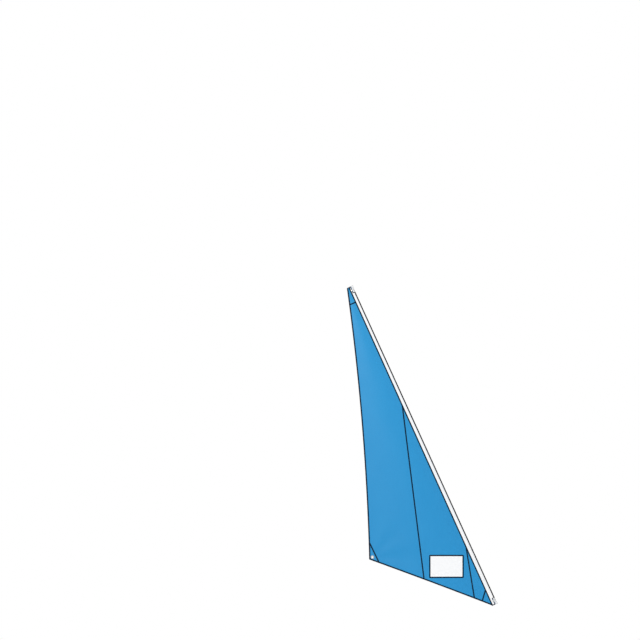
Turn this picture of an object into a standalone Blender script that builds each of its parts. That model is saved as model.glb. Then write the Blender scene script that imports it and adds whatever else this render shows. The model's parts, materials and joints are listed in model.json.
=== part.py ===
"""Jib sail of a small training dinghy, hung on its own luff wire.

The frame is the rigged sail's: metres, +Z up, bow towards +X, port side towards +Y.
The origin is the centre of the tack eye, the lower eye of the luff wire. A place on the
sail is given in the sail's side view by two sizes: along, measured up the luff from the
tack eye, and aft, measured square to the luff wire. The third size, out, runs to port.
"""

import math

import bmesh
import bpy
from mathutils import Matrix, Vector

MM = 0.001

# Sail plan, as seen from the side
LUFF_RAKE = math.radians(24.5)
WIRE_SPAN = 3130 * MM
FOOT_START = -1.2 * MM
FOOT_LENGTH = 1181 * MM
FOOT_ANGLE = math.radians(45.3)
HEAD_WIDTH = 51 * MM
LEECH_HOLLOW = 34 * MM
TAPE_END = 8 * MM
END_MARGIN = 1 * MM

# Flying shape: depth of the belly as a share of the chord, and where it is deepest
BELLY_DEPTH = 0.07
BELLY_PLACE = 0.42

# Cloth
CLOTH = 0.5 * MM
GAP = 0.3 * MM
CLOTH_CELL = 78 * MM
SEAM_LAP = 12 * MM
SEAM_RAMP = 5 * MM
AFT_SEAM = (1951 * MM, 651 * MM)
FORE_SEAM = (552 * MM, 165 * MM)

# Edges, corners and label
TAPE_AFT_TACK = 48.5 * MM
TAPE_AFT_HEAD = 36 * MM
FLAT_AFT_HEAD = 42 * MM
NOSE_SLACK = 1.5 * MM
TAPE_TAPER = 2 * MM
TAPE_STATIONS = 9
BINDING = 12 * MM
TACK_PATCH = (147 * MM, 95 * MM)
CLEW_PATCH = (172 * MM, 102 * MM)
HEAD_PATCH = 150 * MM
LABEL_CENTRE = (485 * MM, 274 * MM)
LABEL_SIZE = (312 * MM, 209 * MM)
LABEL_CORNER = 9 * MM
LABEL_THICKNESS = 0.25 * MM

# Luff wire, its two eyes and the seizings that hold the sail's corners to them
WIRE = 3 * MM
WIRE_SIDES = 8
EYE_WIDTH = 11 * MM
THIMBLE_WALL = 1 * MM
THIMBLE_LIP = 1 * MM
THIMBLE_ROUND = 1.1 * MM
THIMBLE_SHORT = 6 * MM
EYE_TAPER = 16.2 * MM
NECK_SLACK = 1.3 * MM
FERRULE_LENGTH = 14 * MM
FERRULE_WALL = 1.3 * MM
FERRULE_CHAMFER = 0.8 * MM
WIRE_TAIL = 2 * MM
WIRE_JOG = 38 * MM
CUTOUT_MARGIN = 4 * MM
SWING_CLEARANCE = 2.2 * MM
SEIZING_CORD = 2 * MM
SEIZING_TURNS = 2
TURN_GAP = 0.6 * MM
SEIZING_END_AFT = 12 * MM
SEIZING_IN_BORE = 0.7 * MM
SEIZING_POINTS = 30

# Pressed eyelets: bore radius, outer radius, barrel wall, flange, washer and curl
CLEW_RING = {"bore": 8 * MM, "outer": 15.5 * MM, "barrel": 0.7 * MM, "flange": 1.4 * MM,
             "washer": 1.0 * MM, "curl": 0.8 * MM, "reach": 1.6 * MM}
CORNER_RING = {"bore": 3.8 * MM, "outer": 7.7 * MM, "barrel": 0.6 * MM, "flange": 1.1 * MM,
               "washer": 0.8 * MM, "curl": 0.7 * MM, "reach": 1.1 * MM}
CLEW_RING_MARGIN = 1.5 * MM
CORNER_RING_MARGIN = 0.6 * MM
RING_SOFT = 0.5 * MM
RING_STEPS = 24

# Facets of round shapes
ARC_STEPS = 6
CROWN_STEPS = 14
JOG_STEPS = 4
LABEL_CORNER_STEPS = 3
SMOOTH_BELOW = math.radians(35)

# Reach of cuts and folds, as multiples of a nearby size
NOSE_CUT_RADII = 3
DRILL_STACKS = 8
FOLD_ROOM_CELLS = 1.3

# Places that follow from the sizes above
HALF = CLOTH / 2
LAP_LIFT = (CLOTH + GAP) / 2
PATCH_LIFT = CLOTH + GAP
PATCH_TOP = PATCH_LIFT + HALF
TAPE_TOP = PATCH_TOP + GAP + CLOTH
PAIR = WIRE / 2 + GAP / 2
NECK_REACH = PAIR + WIRE / 2
GROOVE = WIRE / 2 + GAP
CROWN = EYE_WIDTH / 2 + THIMBLE_WALL + GROOVE
NECK_START = CROWN + EYE_TAPER
THIMBLE_END = NECK_START - THIMBLE_SHORT
SEIZING_PITCH = SEIZING_CORD + TURN_GAP
SEIZING_START = NECK_START + SEIZING_CORD / 2 + GAP
NECK_LENGTH = SEIZING_TURNS * SEIZING_PITCH + NECK_SLACK
FERRULE_START = NECK_START + NECK_LENGTH
FERRULE_END = FERRULE_START + FERRULE_LENGTH
SLEEVE_START = FERRULE_END + WIRE_TAIL + CUTOUT_MARGIN
TAPE_NOSE = NECK_REACH + NOSE_SLACK
CLOTH_INSET = CROWN + WIRE / 2 + SWING_CLEARANCE
CORNER_RING_AFT = CLOTH_INSET + CORNER_RING_MARGIN + CORNER_RING["outer"]

UP_LUFF = Vector((-math.sin(LUFF_RAKE), 0, math.cos(LUFF_RAKE)))
AFT = Vector((-math.cos(LUFF_RAKE), 0, -math.sin(LUFF_RAKE)))
PORT = Vector((0, 1, 0))

# Finishes: name, colour, roughness and metallic value
FINISHES = {
    "blue": ("blue_sailcloth", (0.042, 0.315, 0.651), 0.55, 0.0),
    "white": ("white_sailcloth", (0.86, 0.87, 0.88), 0.6, 0.0),
    "navy": ("navy_binding", (0.012, 0.045, 0.105), 0.7, 0.0),
    "steel": ("stainless_steel", (0.62, 0.63, 0.65), 0.25, 1.0),
    "alloy": ("ferrule_alloy", (0.55, 0.56, 0.58), 0.4, 1.0),
    "cord": ("seizing_cord", (0.80, 0.81, 0.80), 0.8, 0.0),
    "label": ("label", (0.90, 0.90, 0.90), 0.5, 0.0),
}


def place(along, aft, out=0.0):
    return UP_LUFF * along + AFT * aft + PORT * out


def mix(a, b, share):
    return a + (b - a) * share


# Plan geometry: points are pairs (along, aft)


def plan_point(vector):
    return (vector.dot(UP_LUFF), vector.dot(AFT))


def between(p, q, share):
    return (mix(p[0], q[0], share), mix(p[1], q[1], share))


def crossed(a, b):
    return a[0] * b[1] - a[1] * b[0]


def unit(p, q):
    length = math.dist(p, q)
    return ((q[0] - p[0]) / length, (q[1] - p[1]) / length)


def tape_edge(along):
    """How far aft of the wire the luff tape's aft edge lies, in the side view."""
    return mix(TAPE_AFT_TACK, TAPE_AFT_HEAD, along / WIRE_SPAN)


def luff_point(along):
    return (along, tape_edge(along))


LEECH_STEP = 0.01
FOOT_DIRECTION = (math.sin(FOOT_ANGLE), math.cos(FOOT_ANGLE))
TACK_CORNER = luff_point(FOOT_START)
CLEW_CORNER = (TACK_CORNER[0] + FOOT_LENGTH * FOOT_DIRECTION[0],
               TACK_CORNER[1] + FOOT_LENGTH * FOOT_DIRECTION[1])
HEAD_CORNER = (WIRE_SPAN + TAPE_END - END_MARGIN, HEAD_WIDTH)


def foot_point(distance):
    """A point on the foot, measured from the tack corner."""
    return between(TACK_CORNER, CLEW_CORNER, distance / FOOT_LENGTH)


def leech_point(share):
    """A point on the hollow leech, from the clew (0) to the head (1)."""
    along, aft = between(CLEW_CORNER, HEAD_CORNER, share)
    run = unit(CLEW_CORNER, HEAD_CORNER)
    hollow = 4 * LEECH_HOLLOW * share * (1 - share)
    return (along + run[1] * hollow, aft - run[0] * hollow)


def leech_share(distance):
    """The share of the leech at a straight distance from the clew."""
    low, high = 0.0, 1.0
    for _ in range(40):
        middle = (low + high) / 2
        if math.dist(CLEW_CORNER, leech_point(middle)) < distance:
            low = middle
        else:
            high = middle
    return low


def beside(p, q, point):
    """Signed distance of a point from the line p to q, positive on the luff side of a line
    that runs down from the luff to the foot."""
    return crossed(unit(p, q), (point[0] - p[0], point[1] - p[1]))


# Flying shape


def belly(share):
    """Depth of a unit chord at a share of its length, less its straight entry. The whole depth
    is entry * s * (1 - s) * (1 + ease * s), whose top lies at BELLY_PLACE."""
    top = BELLY_PLACE
    ease = -(1 - 2 * top) / (2 * top - 3 * top**2)
    entry = BELLY_DEPTH / (top * (1 - top) * (1 + ease * top))
    return entry * ((ease - 1) * share**2 - ease * share**3)


def chord(along):
    """The chord from the wire to the straight leech line, extended below the clew."""
    share = (along - CLEW_CORNER[0]) / (HEAD_CORNER[0] - CLEW_CORNER[0])
    return mix(CLEW_CORNER[1], HEAD_CORNER[1], share)


def curvature(along, aft):
    """How far the cloth curls away from the flat strip that the luff tape holds."""
    start = mix(TAPE_AFT_TACK, FLAT_AFT_HEAD, along / WIRE_SPAN)
    if aft <= start:
        return 0.0
    room = chord(along) - start
    return room * belly((aft - start) / room)


# Cloth lattice: every layer of cloth is cut from this one faceted surface, so layers stay parallel


def row_points(near, far, tangent, cells=None):
    """One row of the lattice, from the cloth's luff edge to the leech."""
    rise, run = far[0] - near[0], far[1] - near[1]
    slope = (TAPE_AFT_HEAD - TAPE_AFT_TACK) / WIRE_SPAN
    at_tape = (tape_edge(near[0]) - near[1]) / (run - slope * rise)
    length = math.hypot(rise, run)
    at_binding = 1 - BINDING / abs(crossed((rise, run), tangent))
    cells = cells or max(1, round((at_binding - at_tape) * length / CLOTH_CELL))
    inner = [between(near, far, mix(at_tape, at_binding, k / cells)) for k in range(cells + 1)]
    return [near, *inner, far]


def lattice_rows():
    """The foot, the row one binding above it, and the rows from there to the head."""
    foot_along = TACK_CORNER[0] - (TACK_CORNER[1] - CLOTH_INSET) * math.tan(FOOT_ANGLE)
    clew_turn = unit(CLEW_CORNER, leech_point(LEECH_STEP))
    first_share = leech_share(BINDING / abs(crossed(clew_turn, FOOT_DIRECTION)))
    first_along = foot_along + BINDING / math.cos(FOOT_ANGLE)
    count = round(math.dist(CLEW_CORNER, HEAD_CORNER) / CLOTH_CELL)
    rows = []
    for k in range(count + 1):
        share = mix(first_share, 1, k / count)
        near = (mix(first_along, HEAD_CORNER[0], k / count), CLOTH_INSET)
        tangent = unit(leech_point(share - LEECH_STEP), leech_point(share))
        rows.append(row_points(near, leech_point(share), tangent))
    foot = row_points((foot_along, CLOTH_INSET), CLEW_CORNER, clew_turn, len(rows[0]) - 3)
    return [foot, *rows]


def zipped(lower, upper):
    """Triangles between two rows that may hold unlike numbers of points."""
    faces = []
    i = j = 0
    while i < len(lower) - 1 or j < len(upper) - 1:
        next_low = (i + 1) / (len(lower) - 1)
        next_up = (j + 1) / (len(upper) - 1)
        if next_low <= next_up:
            faces.append((lower[i], lower[i + 1], upper[j]))
            i += 1
        else:
            faces.append((lower[i], upper[j + 1], upper[j]))
            j += 1
    return faces


ROWS = lattice_rows()


def lattice_triangles():
    """Corner triples of plan points."""
    triangles = []
    for lower, upper in zip(ROWS, ROWS[1:]):
        for low, up in ((lower[:2], upper[:2]), (lower[1:-1], upper[1:-1]), (lower[-2:], upper[-2:])):
            triangles += zipped(low, up)
    return triangles


def balanced_entry():
    """The slope of the flat luff strip that hangs the cloth's centre under the wire."""
    moment = lever = 0.0
    for a, b, c in lattice_triangles():
        area = abs(crossed((b[0] - a[0], b[1] - a[1]), (c[0] - a[0], c[1] - a[1]))) / 2
        moment += area * sum(curvature(*p) for p in (a, b, c)) / 3
        lever += area * (a[1] + b[1] + c[1]) / 3
    return -moment / lever


ENTRY = balanced_entry()
ENTRY_ANGLE = math.atan(ENTRY)
AFT_TAPE = AFT * math.cos(ENTRY_ANGLE) + PORT * math.sin(ENTRY_ANGLE)
OUT_TAPE = PORT * math.cos(ENTRY_ANGLE) - AFT * math.sin(ENTRY_ANGLE)


def sail_height(along, aft):
    return aft * ENTRY + curvature(along, aft)


def on_tape(along, aft, out=0.0):
    """A place in the luff tape's own plane, which leaves the wire at the entry angle."""
    return UP_LUFF * along + AFT_TAPE * aft + OUT_TAPE * out


# Mesh helpers


def material(name, colour, roughness, metallic):
    made = bpy.data.materials.new(name)
    made.use_nodes = True
    shader = made.node_tree.nodes["Principled BSDF"]
    shader.inputs["Base Color"].default_value = (*colour, 1)
    shader.inputs["Roughness"].default_value = roughness
    shader.inputs["Metallic"].default_value = metallic
    made.diffuse_color = (*colour, 1)
    return made


def add_object(name, bm, finish, smooth=False):
    bmesh.ops.recalc_face_normals(bm, faces=bm.faces)
    mesh = bpy.data.meshes.new(name)
    bm.to_mesh(mesh)
    bm.free()
    if smooth:
        mesh.shade_smooth()
        mesh.set_sharp_from_angle(angle=SMOOTH_BELOW)
    if finish:
        mesh.materials.append(finish)
    made = bpy.data.objects.new(name, mesh)
    bpy.context.scene.collection.objects.link(made)
    return made


def join_rings(bm, rings, closed=False, rising=None):
    """Faces between successive rings of vertices, capped at both ends unless closed. With rising,
    each four-sided face is split, along the diagonal that leaves its first corner if rising says so."""
    pairs = list(zip(rings, rings[1:]))
    if closed:
        pairs.append((rings[-1], rings[0]))
    for ring, following in pairs:
        for k in range(len(ring)):
            m = (k + 1) % len(ring)
            a, b, c, d = ring[k], ring[m], following[m], following[k]
            if rising is None:
                bm.faces.new((a, b, c, d))
            elif rising[k]:
                bm.faces.new((a, b, c))
                bm.faces.new((a, c, d))
            else:
                bm.faces.new((a, b, d))
                bm.faces.new((b, c, d))
    if not closed:
        bm.faces.new(list(reversed(rings[0])))
        bm.faces.new(rings[-1])


def swept(name, stations, finish):
    """A solid through rings of points, one ring at each station."""
    bm = bmesh.new()
    join_rings(bm, [[bm.verts.new(p) for p in ring] for ring in stations])
    return add_object(name, bm, finish, smooth=True)


def mitred(path, section, side):
    """Rings of a planar section carried along a path in one plane. side is the plane's normal,
    and a section point is (inward, sideways), inward being to the left of the path."""
    rings = []
    for k, spot in enumerate(path):
        before = (spot - path[k - 1]).normalized() if k else (path[1] - spot).normalized()
        after = (path[k + 1] - spot).normalized() if k < len(path) - 1 else before
        run = (before + after).normalized()
        stretch = 1 / run.dot(after)
        inward = side.cross(run)
        rings.append([spot + inward * (i * stretch) + side * s for i, s in section])
    return rings


def round_section(radius, sides):
    turns = [2 * math.pi * (k + 0.5) / sides for k in range(sides)]
    return [(radius * math.cos(t), radius * math.sin(t)) for t in turns]


def spun(name, profile, centre, axis, finish):
    """A turned ring: profile points are (radius, height up the axis)."""
    across = axis.orthogonal().normalized()
    bm = bmesh.new()
    loop = [bm.verts.new(centre + across * r + axis * h) for r, h in profile]
    edges = [bm.edges.new((loop[k - 1], loop[k])) for k in range(len(loop))]
    bmesh.ops.spin(bm, geom=loop + edges, cent=centre, axis=axis, angle=2 * math.pi,
                   steps=RING_STEPS, use_merge=True)
    bmesh.ops.remove_doubles(bm, verts=bm.verts, dist=1e-6)
    return add_object(name, bm, finish, smooth=True)


def cutter_from(name, bm):
    made = add_object(name, bm, None)
    made.hide_render = True
    made.display_type = "WIRE"
    return made


def drill(name, centre, axis, radius, depth):
    bm = bmesh.new()
    turn = axis.to_track_quat("Z", "Y").to_matrix().to_4x4()
    turn.translation = centre
    bmesh.ops.create_cone(bm, cap_ends=True, segments=RING_STEPS, radius1=radius, radius2=radius,
                          depth=depth, matrix=turn)
    return cutter_from(name, bm)


def cut(obj, *cutters):
    for tool in cutters:
        modifier = obj.modifiers.new(tool.name, "BOOLEAN")
        modifier.operation = "DIFFERENCE"
        modifier.solver = "EXACT"
        modifier.object = tool


# Cloth pieces


def lattice_mesh():
    bm = bmesh.new()
    made = {}
    for corners in lattice_triangles():
        for corner in corners:
            if corner not in made:
                made[corner] = bm.verts.new(place(*corner, sail_height(*corner)))
        bm.faces.new([made[corner] for corner in corners])
    return bm


def slice_plane(bm, p, q, keep=None):
    """Cuts the cloth along a plan line, and with keep drops all but that plan point's side."""
    run = unit(p, q)
    normal = (UP_LUFF * -run[1] + AFT * run[0]).normalized()
    if keep is not None and normal.dot(place(*keep) - place(*p)) > 0:
        normal = -normal
    bmesh.ops.bisect_plane(bm, geom=bm.verts[:] + bm.edges[:] + bm.faces[:], dist=1e-6,
                           plane_co=place(*p), plane_no=normal, clear_outer=keep is not None)


def shifted(line, distance):
    """A plan line moved sideways, positive towards the luff."""
    p, q = line
    run = unit(p, q)
    return tuple((a - run[1] * distance, b + run[0] * distance) for a, b in (p, q))


def trim_corners(bm):
    """Cuts off the cloth inside the luff tape below the tape's lower end."""
    end = END_MARGIN - TAPE_END
    slice_plane(bm, (end, 0), (end, 1), keep=(end + 1, 0))


def cloth_piece(name, bm, low, high, finish, lift=None):
    """Makes the cut surface a solid that runs from low to high beside the sail's middle surface."""
    bmesh.ops.triangulate(bm, faces=bm.faces)
    bm.verts.index_update()
    raised = [v.co + PORT * (lift(plan_point(v.co)) if lift else 0.0) for v in bm.verts]
    faces = [[v.index for v in face.verts] for face in bm.faces]
    rim = [(e.verts[0].index, e.verts[1].index) for e in bm.edges if e.is_boundary]
    bm.free()
    solid = bmesh.new()
    port = [solid.verts.new(p + PORT * high) for p in raised]
    starboard = [solid.verts.new(p + PORT * low) for p in raised]
    for face in faces:
        solid.faces.new([port[k] for k in face])
        solid.faces.new([starboard[k] for k in reversed(face)])
    for a, b in rim:
        solid.faces.new((port[a], port[b], starboard[b], starboard[a]))
    return add_object(name, solid, finish)


def seam_line(seam):
    luff, foot = seam
    return (luff_point(luff), foot_point(foot))


def lap_lift(line, over):
    """The step by which a panel rises over its neighbour at a seam, or sinks under it."""
    def lift(point):
        side = beside(*line, point)
        reach = side if over else -side
        share = (reach + SEAM_LAP / 2 + SEAM_RAMP) / SEAM_RAMP
        return LAP_LIFT * min(1, max(0, share)) * (1 if over else -1)
    return lift


def panel(name, finish, aft_seam=None, fore_seam=None):
    """One panel of sailcloth. It lies under the panel aft of it and over the panel ahead of it."""
    bm = lattice_mesh()
    trim_corners(bm)
    lifts = []
    if aft_seam:
        line = seam_line(aft_seam)
        edge = shifted(line, -SEAM_LAP / 2)
        slice_plane(bm, *edge, keep=shifted(line, 1)[0])
        for distance in (SEAM_LAP / 2, SEAM_LAP / 2 + SEAM_RAMP):
            slice_plane(bm, *shifted(line, distance))
        lifts.append(lap_lift(line, over=False))
    if fore_seam:
        line = seam_line(fore_seam)
        edge = shifted(line, SEAM_LAP / 2)
        slice_plane(bm, *edge, keep=shifted(line, -1)[0])
        for distance in (-SEAM_LAP / 2, -SEAM_LAP / 2 - SEAM_RAMP):
            slice_plane(bm, *shifted(line, distance))
        lifts.append(lap_lift(line, over=True))
    return cloth_piece(name, bm, -HALF, HALF, finish, lambda p: sum(lift(p) for lift in lifts))


def patch_line(corner):
    if corner == "tack":
        return (luff_point(FOOT_START + TACK_PATCH[0]), foot_point(TACK_PATCH[1]))
    if corner == "clew":
        return (leech_point(leech_share(CLEW_PATCH[0])), foot_point(FOOT_LENGTH - CLEW_PATCH[1]))
    lower = HEAD_CORNER[0] - HEAD_PATCH
    return ((lower, 0), (lower, HEAD_WIDTH))


CORNERS = {"tack": TACK_CORNER, "clew": CLEW_CORNER, "head": HEAD_CORNER}
ENDS = (("tack", False), ("head", True))


def corner_patches(corner, finish):
    """The doubling patches on both faces of one corner."""
    made = []
    for side, sign in (("starboard", -1), ("port", 1)):
        bm = lattice_mesh()
        trim_corners(bm)
        slice_plane(bm, *patch_line(corner), keep=CORNERS[corner])
        low, high = sorted((sign * (PATCH_LIFT - HALF), sign * PATCH_TOP))
        made.append(cloth_piece(f"{corner}_patch_{side}", bm, low, high, finish))
    return made


def rounded_rectangle(size, radius):
    """Corners of a level rectangle with round corners, as offsets from its centre."""
    points = []
    for quarter, (sx, sz) in enumerate(((1, 1), (-1, 1), (-1, -1), (1, -1))):
        for k in range(LABEL_CORNER_STEPS + 1):
            turn = math.pi / 2 * (quarter + k / LABEL_CORNER_STEPS)
            x = sx * (size[0] / 2 - radius) + radius * math.cos(turn)
            z = sz * (size[1] / 2 - radius) + radius * math.sin(turn)
            points.append(Vector((x, 0, z)))
    return points


def label_patch(finish):
    """The bare label on the starboard face of the middle panel, level as the sail hangs."""
    bm = lattice_mesh()
    middle = place(*LABEL_CENTRE)
    outline = [plan_point(middle + p) for p in rounded_rectangle(LABEL_SIZE, LABEL_CORNER)]
    for k, point in enumerate(outline):
        slice_plane(bm, outline[k - 1], point, keep=LABEL_CENTRE)
    near = -HALF - GAP
    return cloth_piece("label_patch", bm, near - LABEL_THICKNESS, near, finish)


# Edge bindings, folded round the leech and the foot


def fold_room(point):
    """Half the room inside a binding at a station. It takes a seam or a patch that lies up to
    about a cell away, because the binding runs straight to the next station."""
    near = FOLD_ROOM_CELLS * CLOTH_CELL
    room = HALF + GAP
    for seam in (AFT_SEAM, FORE_SEAM):
        if abs(beside(*seam_line(seam), point)) < near:
            room = LAP_LIFT + HALF + GAP
    for corner, spot in CORNERS.items():
        line = patch_line(corner)
        side = beside(*line, point) * (1 if beside(*line, spot) > 0 else -1)
        if side > -near:
            room = PATCH_TOP + GAP
    return room


def binding(name, inner, edge, finish):
    """A folded strip round the cloth's edge, from plan points at its inner edge and on the cloth's
    edge. The faces of its leaves split along the same diagonals as the cloth between them."""
    rings = []
    for k, (inside, rim) in enumerate(zip(inner, edge)):
        outward = unit(inside, rim)
        run = unit(edge[max(k - 1, 0)], edge[min(k + 1, len(edge) - 1)])
        skew = abs(crossed(outward, run))
        pocket, fold = (between(rim, (rim[0] + outward[0], rim[1] + outward[1]), reach / skew)
                        for reach in (GAP, GAP + CLOTH))
        room = fold_room(rim)
        rings.append([
            place(*inside, sail_height(*inside) + room + CLOTH),
            place(*fold, sail_height(*rim) + room + CLOTH),
            place(*fold, sail_height(*rim) - room - CLOTH),
            place(*inside, sail_height(*inside) - room - CLOTH),
            place(*inside, sail_height(*inside) - room),
            place(*pocket, sail_height(*rim) - room),
            place(*pocket, sail_height(*rim) + room),
            place(*inside, sail_height(*inside) + room),
        ])
    bm = bmesh.new()
    join_rings(bm, [[bm.verts.new(p) for p in ring] for ring in rings],
               rising=(True, True, False, False) * 2)
    return add_object(name, bm, finish)


def leech_binding(finish):
    downwards = ROWS[::-1]
    return binding("leech_binding", [row[-2] for row in downwards], [row[-1] for row in downwards], finish)


def foot_binding(finish):
    """Runs from the luff tape to the leech binding, and stops a clearance short of each."""
    edge, inner = ROWS[0][1:-1], ROWS[1][1:-1]
    share = (GAP * 2) / math.dist(edge[0], edge[1])
    for line in (edge, inner):
        line[0] = between(line[0], line[1], share)
        line[-1] = between(line[-1], line[-2], share)
    return binding("foot_binding", inner, edge, finish)


# Luff tape


def tape_profile(aft_edge):
    """Cross-section of the folded tape as (aft, out): a round nose round the wire, then two leaves."""
    def outline(radius, leaf):
        turns = [math.pi * k / ARC_STEPS for k in range(ARC_STEPS + 1)]
        nose = [(-radius * math.sin(t), radius * math.cos(t)) for t in turns]
        flat = CLOTH_INSET + TAPE_TAPER
        return [(aft_edge, leaf), (flat, leaf), *nose, (flat, -leaf), (aft_edge, -leaf)]

    inner = outline(TAPE_NOSE, PATCH_TOP + GAP)
    return outline(TAPE_NOSE + CLOTH, TAPE_TOP) + inner[::-1]


def luff_tape(finish):
    low, high = -TAPE_END, WIRE_SPAN + TAPE_END
    rings = []
    for k in range(TAPE_STATIONS + 1):
        along = mix(low, high, k / TAPE_STATIONS)
        profile = tape_profile(tape_edge(along) / math.cos(ENTRY_ANGLE))
        rings.append([on_tape(along, aft, out) for aft, out in profile])
    return swept("luff_tape", rings, finish)


def nose_cutter(name, low, high):
    """Takes the tape's nose away round a wire eye, as far aft as the cloth's luff edge."""
    reach = NOSE_CUT_RADII * TAPE_NOSE
    edge = CLOTH_INSET / math.cos(ENTRY_ANGLE)
    bm = bmesh.new()
    corners = [(-reach, -reach), (edge, -reach), (edge, reach), (-reach, reach)]
    rings = [[bm.verts.new(on_tape(along, aft, out)) for aft, out in corners] for along in (low, high)]
    join_rings(bm, rings)
    return cutter_from(name, bm)


# Luff wire and its eyes. An eye is drawn at the tack and mirrored for the head.


def end_along(distance, head):
    return WIRE_SPAN - distance if head else distance


def eye_path():
    """The wire's middle line round the tack eye, from the aft leg at the neck to the fore leg."""
    reach = math.hypot(NECK_START, PAIR)
    spread = math.asin(CROWN / reach) - math.atan(PAIR / NECK_START)
    points = [(NECK_START, PAIR)]
    for k in range(CROWN_STEPS + 1):
        turn = mix(spread, -math.pi - spread, k / CROWN_STEPS)
        points.append((CROWN * math.sin(turn), CROWN * math.cos(turn)))
    points.append((NECK_START, -PAIR))
    return points


def wire_end(head):
    """Places from the wire's tail, round the eye and into the straight luff."""
    tail = FERRULE_END + WIRE_TAIL
    points = [(tail, PAIR), *eye_path()]
    for k in range(JOG_STEPS + 1):
        share = k / JOG_STEPS
        ease = share * share * (3 - 2 * share)
        points.append((tail + WIRE_JOG * share, -PAIR * (1 - ease)))
    return [place(end_along(along, head), aft) for along, aft in points]


def luff_wire(finish):
    path = wire_end(False) + wire_end(True)[::-1]
    rings = mitred(path, round_section(WIRE / 2, WIRE_SIDES), PORT)
    return swept("luff_wire", rings, finish)


def thimble_section():
    """The channel that the wire lies in, as (inward, sideways) from the wire's middle."""
    cheek, base = GROOVE + THIMBLE_LIP, GROOVE + THIMBLE_WALL
    turns = [math.pi * k / ARC_STEPS for k in range(ARC_STEPS + 1)]
    groove = [(GROOVE * math.sin(t), -GROOVE * math.cos(t)) for t in turns]
    back = [(base - THIMBLE_ROUND, cheek), (base, cheek - THIMBLE_ROUND),
            (base, THIMBLE_ROUND - cheek), (base - THIMBLE_ROUND, -cheek)]
    return [*groove, (0, cheek), *back, (0, -cheek)]


def thimble(name, head, finish):
    path = eye_path()
    for end, neighbour in ((0, 1), (-1, -2)):
        high, low = path[end], path[neighbour]
        path[end] = between(low, high, (THIMBLE_END - low[0]) / (high[0] - low[0]))
    spots = [place(end_along(along, head), aft) for along, aft in path]
    centre = place(end_along(0, head), 0)
    middle = len(spots) // 2
    inward = PORT.cross((spots[middle + 1] - spots[middle - 1]).normalized())
    side = PORT if inward.dot(centre - spots[middle]) > 0 else -PORT
    return swept(name, mitred(spots, thimble_section(), side), finish)


def stadium(half_width, radius):
    """Outline of a slot with round ends, as (aft, out)."""
    points = []
    for side, start in ((1, -math.pi / 2), (-1, math.pi / 2)):
        for k in range(ARC_STEPS + 1):
            turn = start + math.pi * k / ARC_STEPS
            points.append((side * half_width + radius * math.cos(turn), radius * math.sin(turn)))
    return points


def ferrule(name, head, finish):
    """A pressed sleeve round the wire and its tail, with chamfered ends."""
    low, high = FERRULE_START, FERRULE_END
    outer = GROOVE + FERRULE_WALL
    edge = outer - FERRULE_CHAMFER
    stations = [(low, GROOVE), (low, edge), (low + FERRULE_CHAMFER, outer),
                (high - FERRULE_CHAMFER, outer), (high, edge), (high, GROOVE)]
    bm = bmesh.new()
    rings = [[bm.verts.new(place(end_along(along, head), aft, out)) for aft, out in stadium(PAIR, radius)]
             for along, radius in stations]
    join_rings(bm, rings, closed=True)
    return add_object(name, bm, finish, smooth=True)


# Pressed eyelets


def ring_profiles(size, stack):
    """Profiles of the eyelet and of its washer round a stack of cloth of this half thickness.
    The eyelet's flange is on the starboard face and its barrel is curled over the washer to port."""
    bore, outer, barrel = size["bore"], size["outer"], size["bore"] + size["barrel"]
    seat = stack + GAP
    face = seat + size["flange"]
    washer_top = seat + size["washer"]
    lock = washer_top + GAP
    top = lock + size["curl"]
    curl = barrel + size["reach"]
    soft = RING_SOFT
    eyelet = [(bore, -face + soft), (bore + soft, -face), (outer - 2 * soft, -face),
              (outer, -face + 2 * soft), (outer, -seat), (barrel, -seat), (barrel, lock),
              (curl, lock), (curl, lock + soft / 2), (curl - soft, top), (bore + soft, top),
              (bore, top - soft)]
    washer = [(barrel + GAP, seat), (outer, seat), (outer, washer_top - soft / 2),
              (outer - soft / 2, washer_top), (barrel + GAP, washer_top)]
    return eyelet, washer


def eyelet(corner, size, centre, axis, stack, finish):
    """One pressed eyelet and washer, and the drill for the hole that they sit in."""
    body, washer = ring_profiles(size, stack)
    spun(f"{corner}_eyelet", body, centre, axis, finish)
    spun(f"{corner}_eyelet_washer", washer, centre, axis, finish)
    radius = size["bore"] + size["barrel"] + GAP
    return drill(f"{corner}_drill", centre, axis, radius, DRILL_STACKS * stack)


def clew_ring_spot():
    """Centre and axis of the clew eyelet, on the line that halves the clew's angle."""
    up = unit(CLEW_CORNER, leech_point(LEECH_STEP))
    ahead = (-FOOT_DIRECTION[0], -FOOT_DIRECTION[1])
    half = math.acos(up[0] * ahead[0] + up[1] * ahead[1]) / 2
    inward = unit((0, 0), (up[0] + ahead[0], up[1] + ahead[1]))
    reach = (BINDING + CLEW_RING["outer"] + CLEW_RING_MARGIN) / math.sin(half)
    spot = (CLEW_CORNER[0] + inward[0] * reach, CLEW_CORNER[1] + inward[1] * reach)
    step = CLEW_RING["outer"]
    corners = [spot, (spot[0] + step, spot[1]), (spot[0], spot[1] - step)]
    a, b, c = (place(*p, sail_height(*p)) for p in corners)
    axis = (b - a).cross(c - a).normalized()
    return a, axis if axis.dot(PORT) > 0 else -axis


def corner_ring_along():
    """The middle of the seizing's two passes through the eyelet."""
    ahead, bend, run, _, back = turn_lengths()
    passes = (ahead + bend + run + bend / 2) / (ahead + 2 * bend + run + back)
    return SEIZING_START + SEIZING_PITCH * (passes + (SEIZING_TURNS - 1) / 2)


# Seizings: turns of cord round the wire's neck and through the corner eyelet


def seizing_radius():
    """Half the height of a turn, which clears the eyelet's curl."""
    body, _ = ring_profiles(CORNER_RING, TAPE_TOP)
    return max(height for _, height in body) + GAP + SEIZING_CORD / 2


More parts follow.
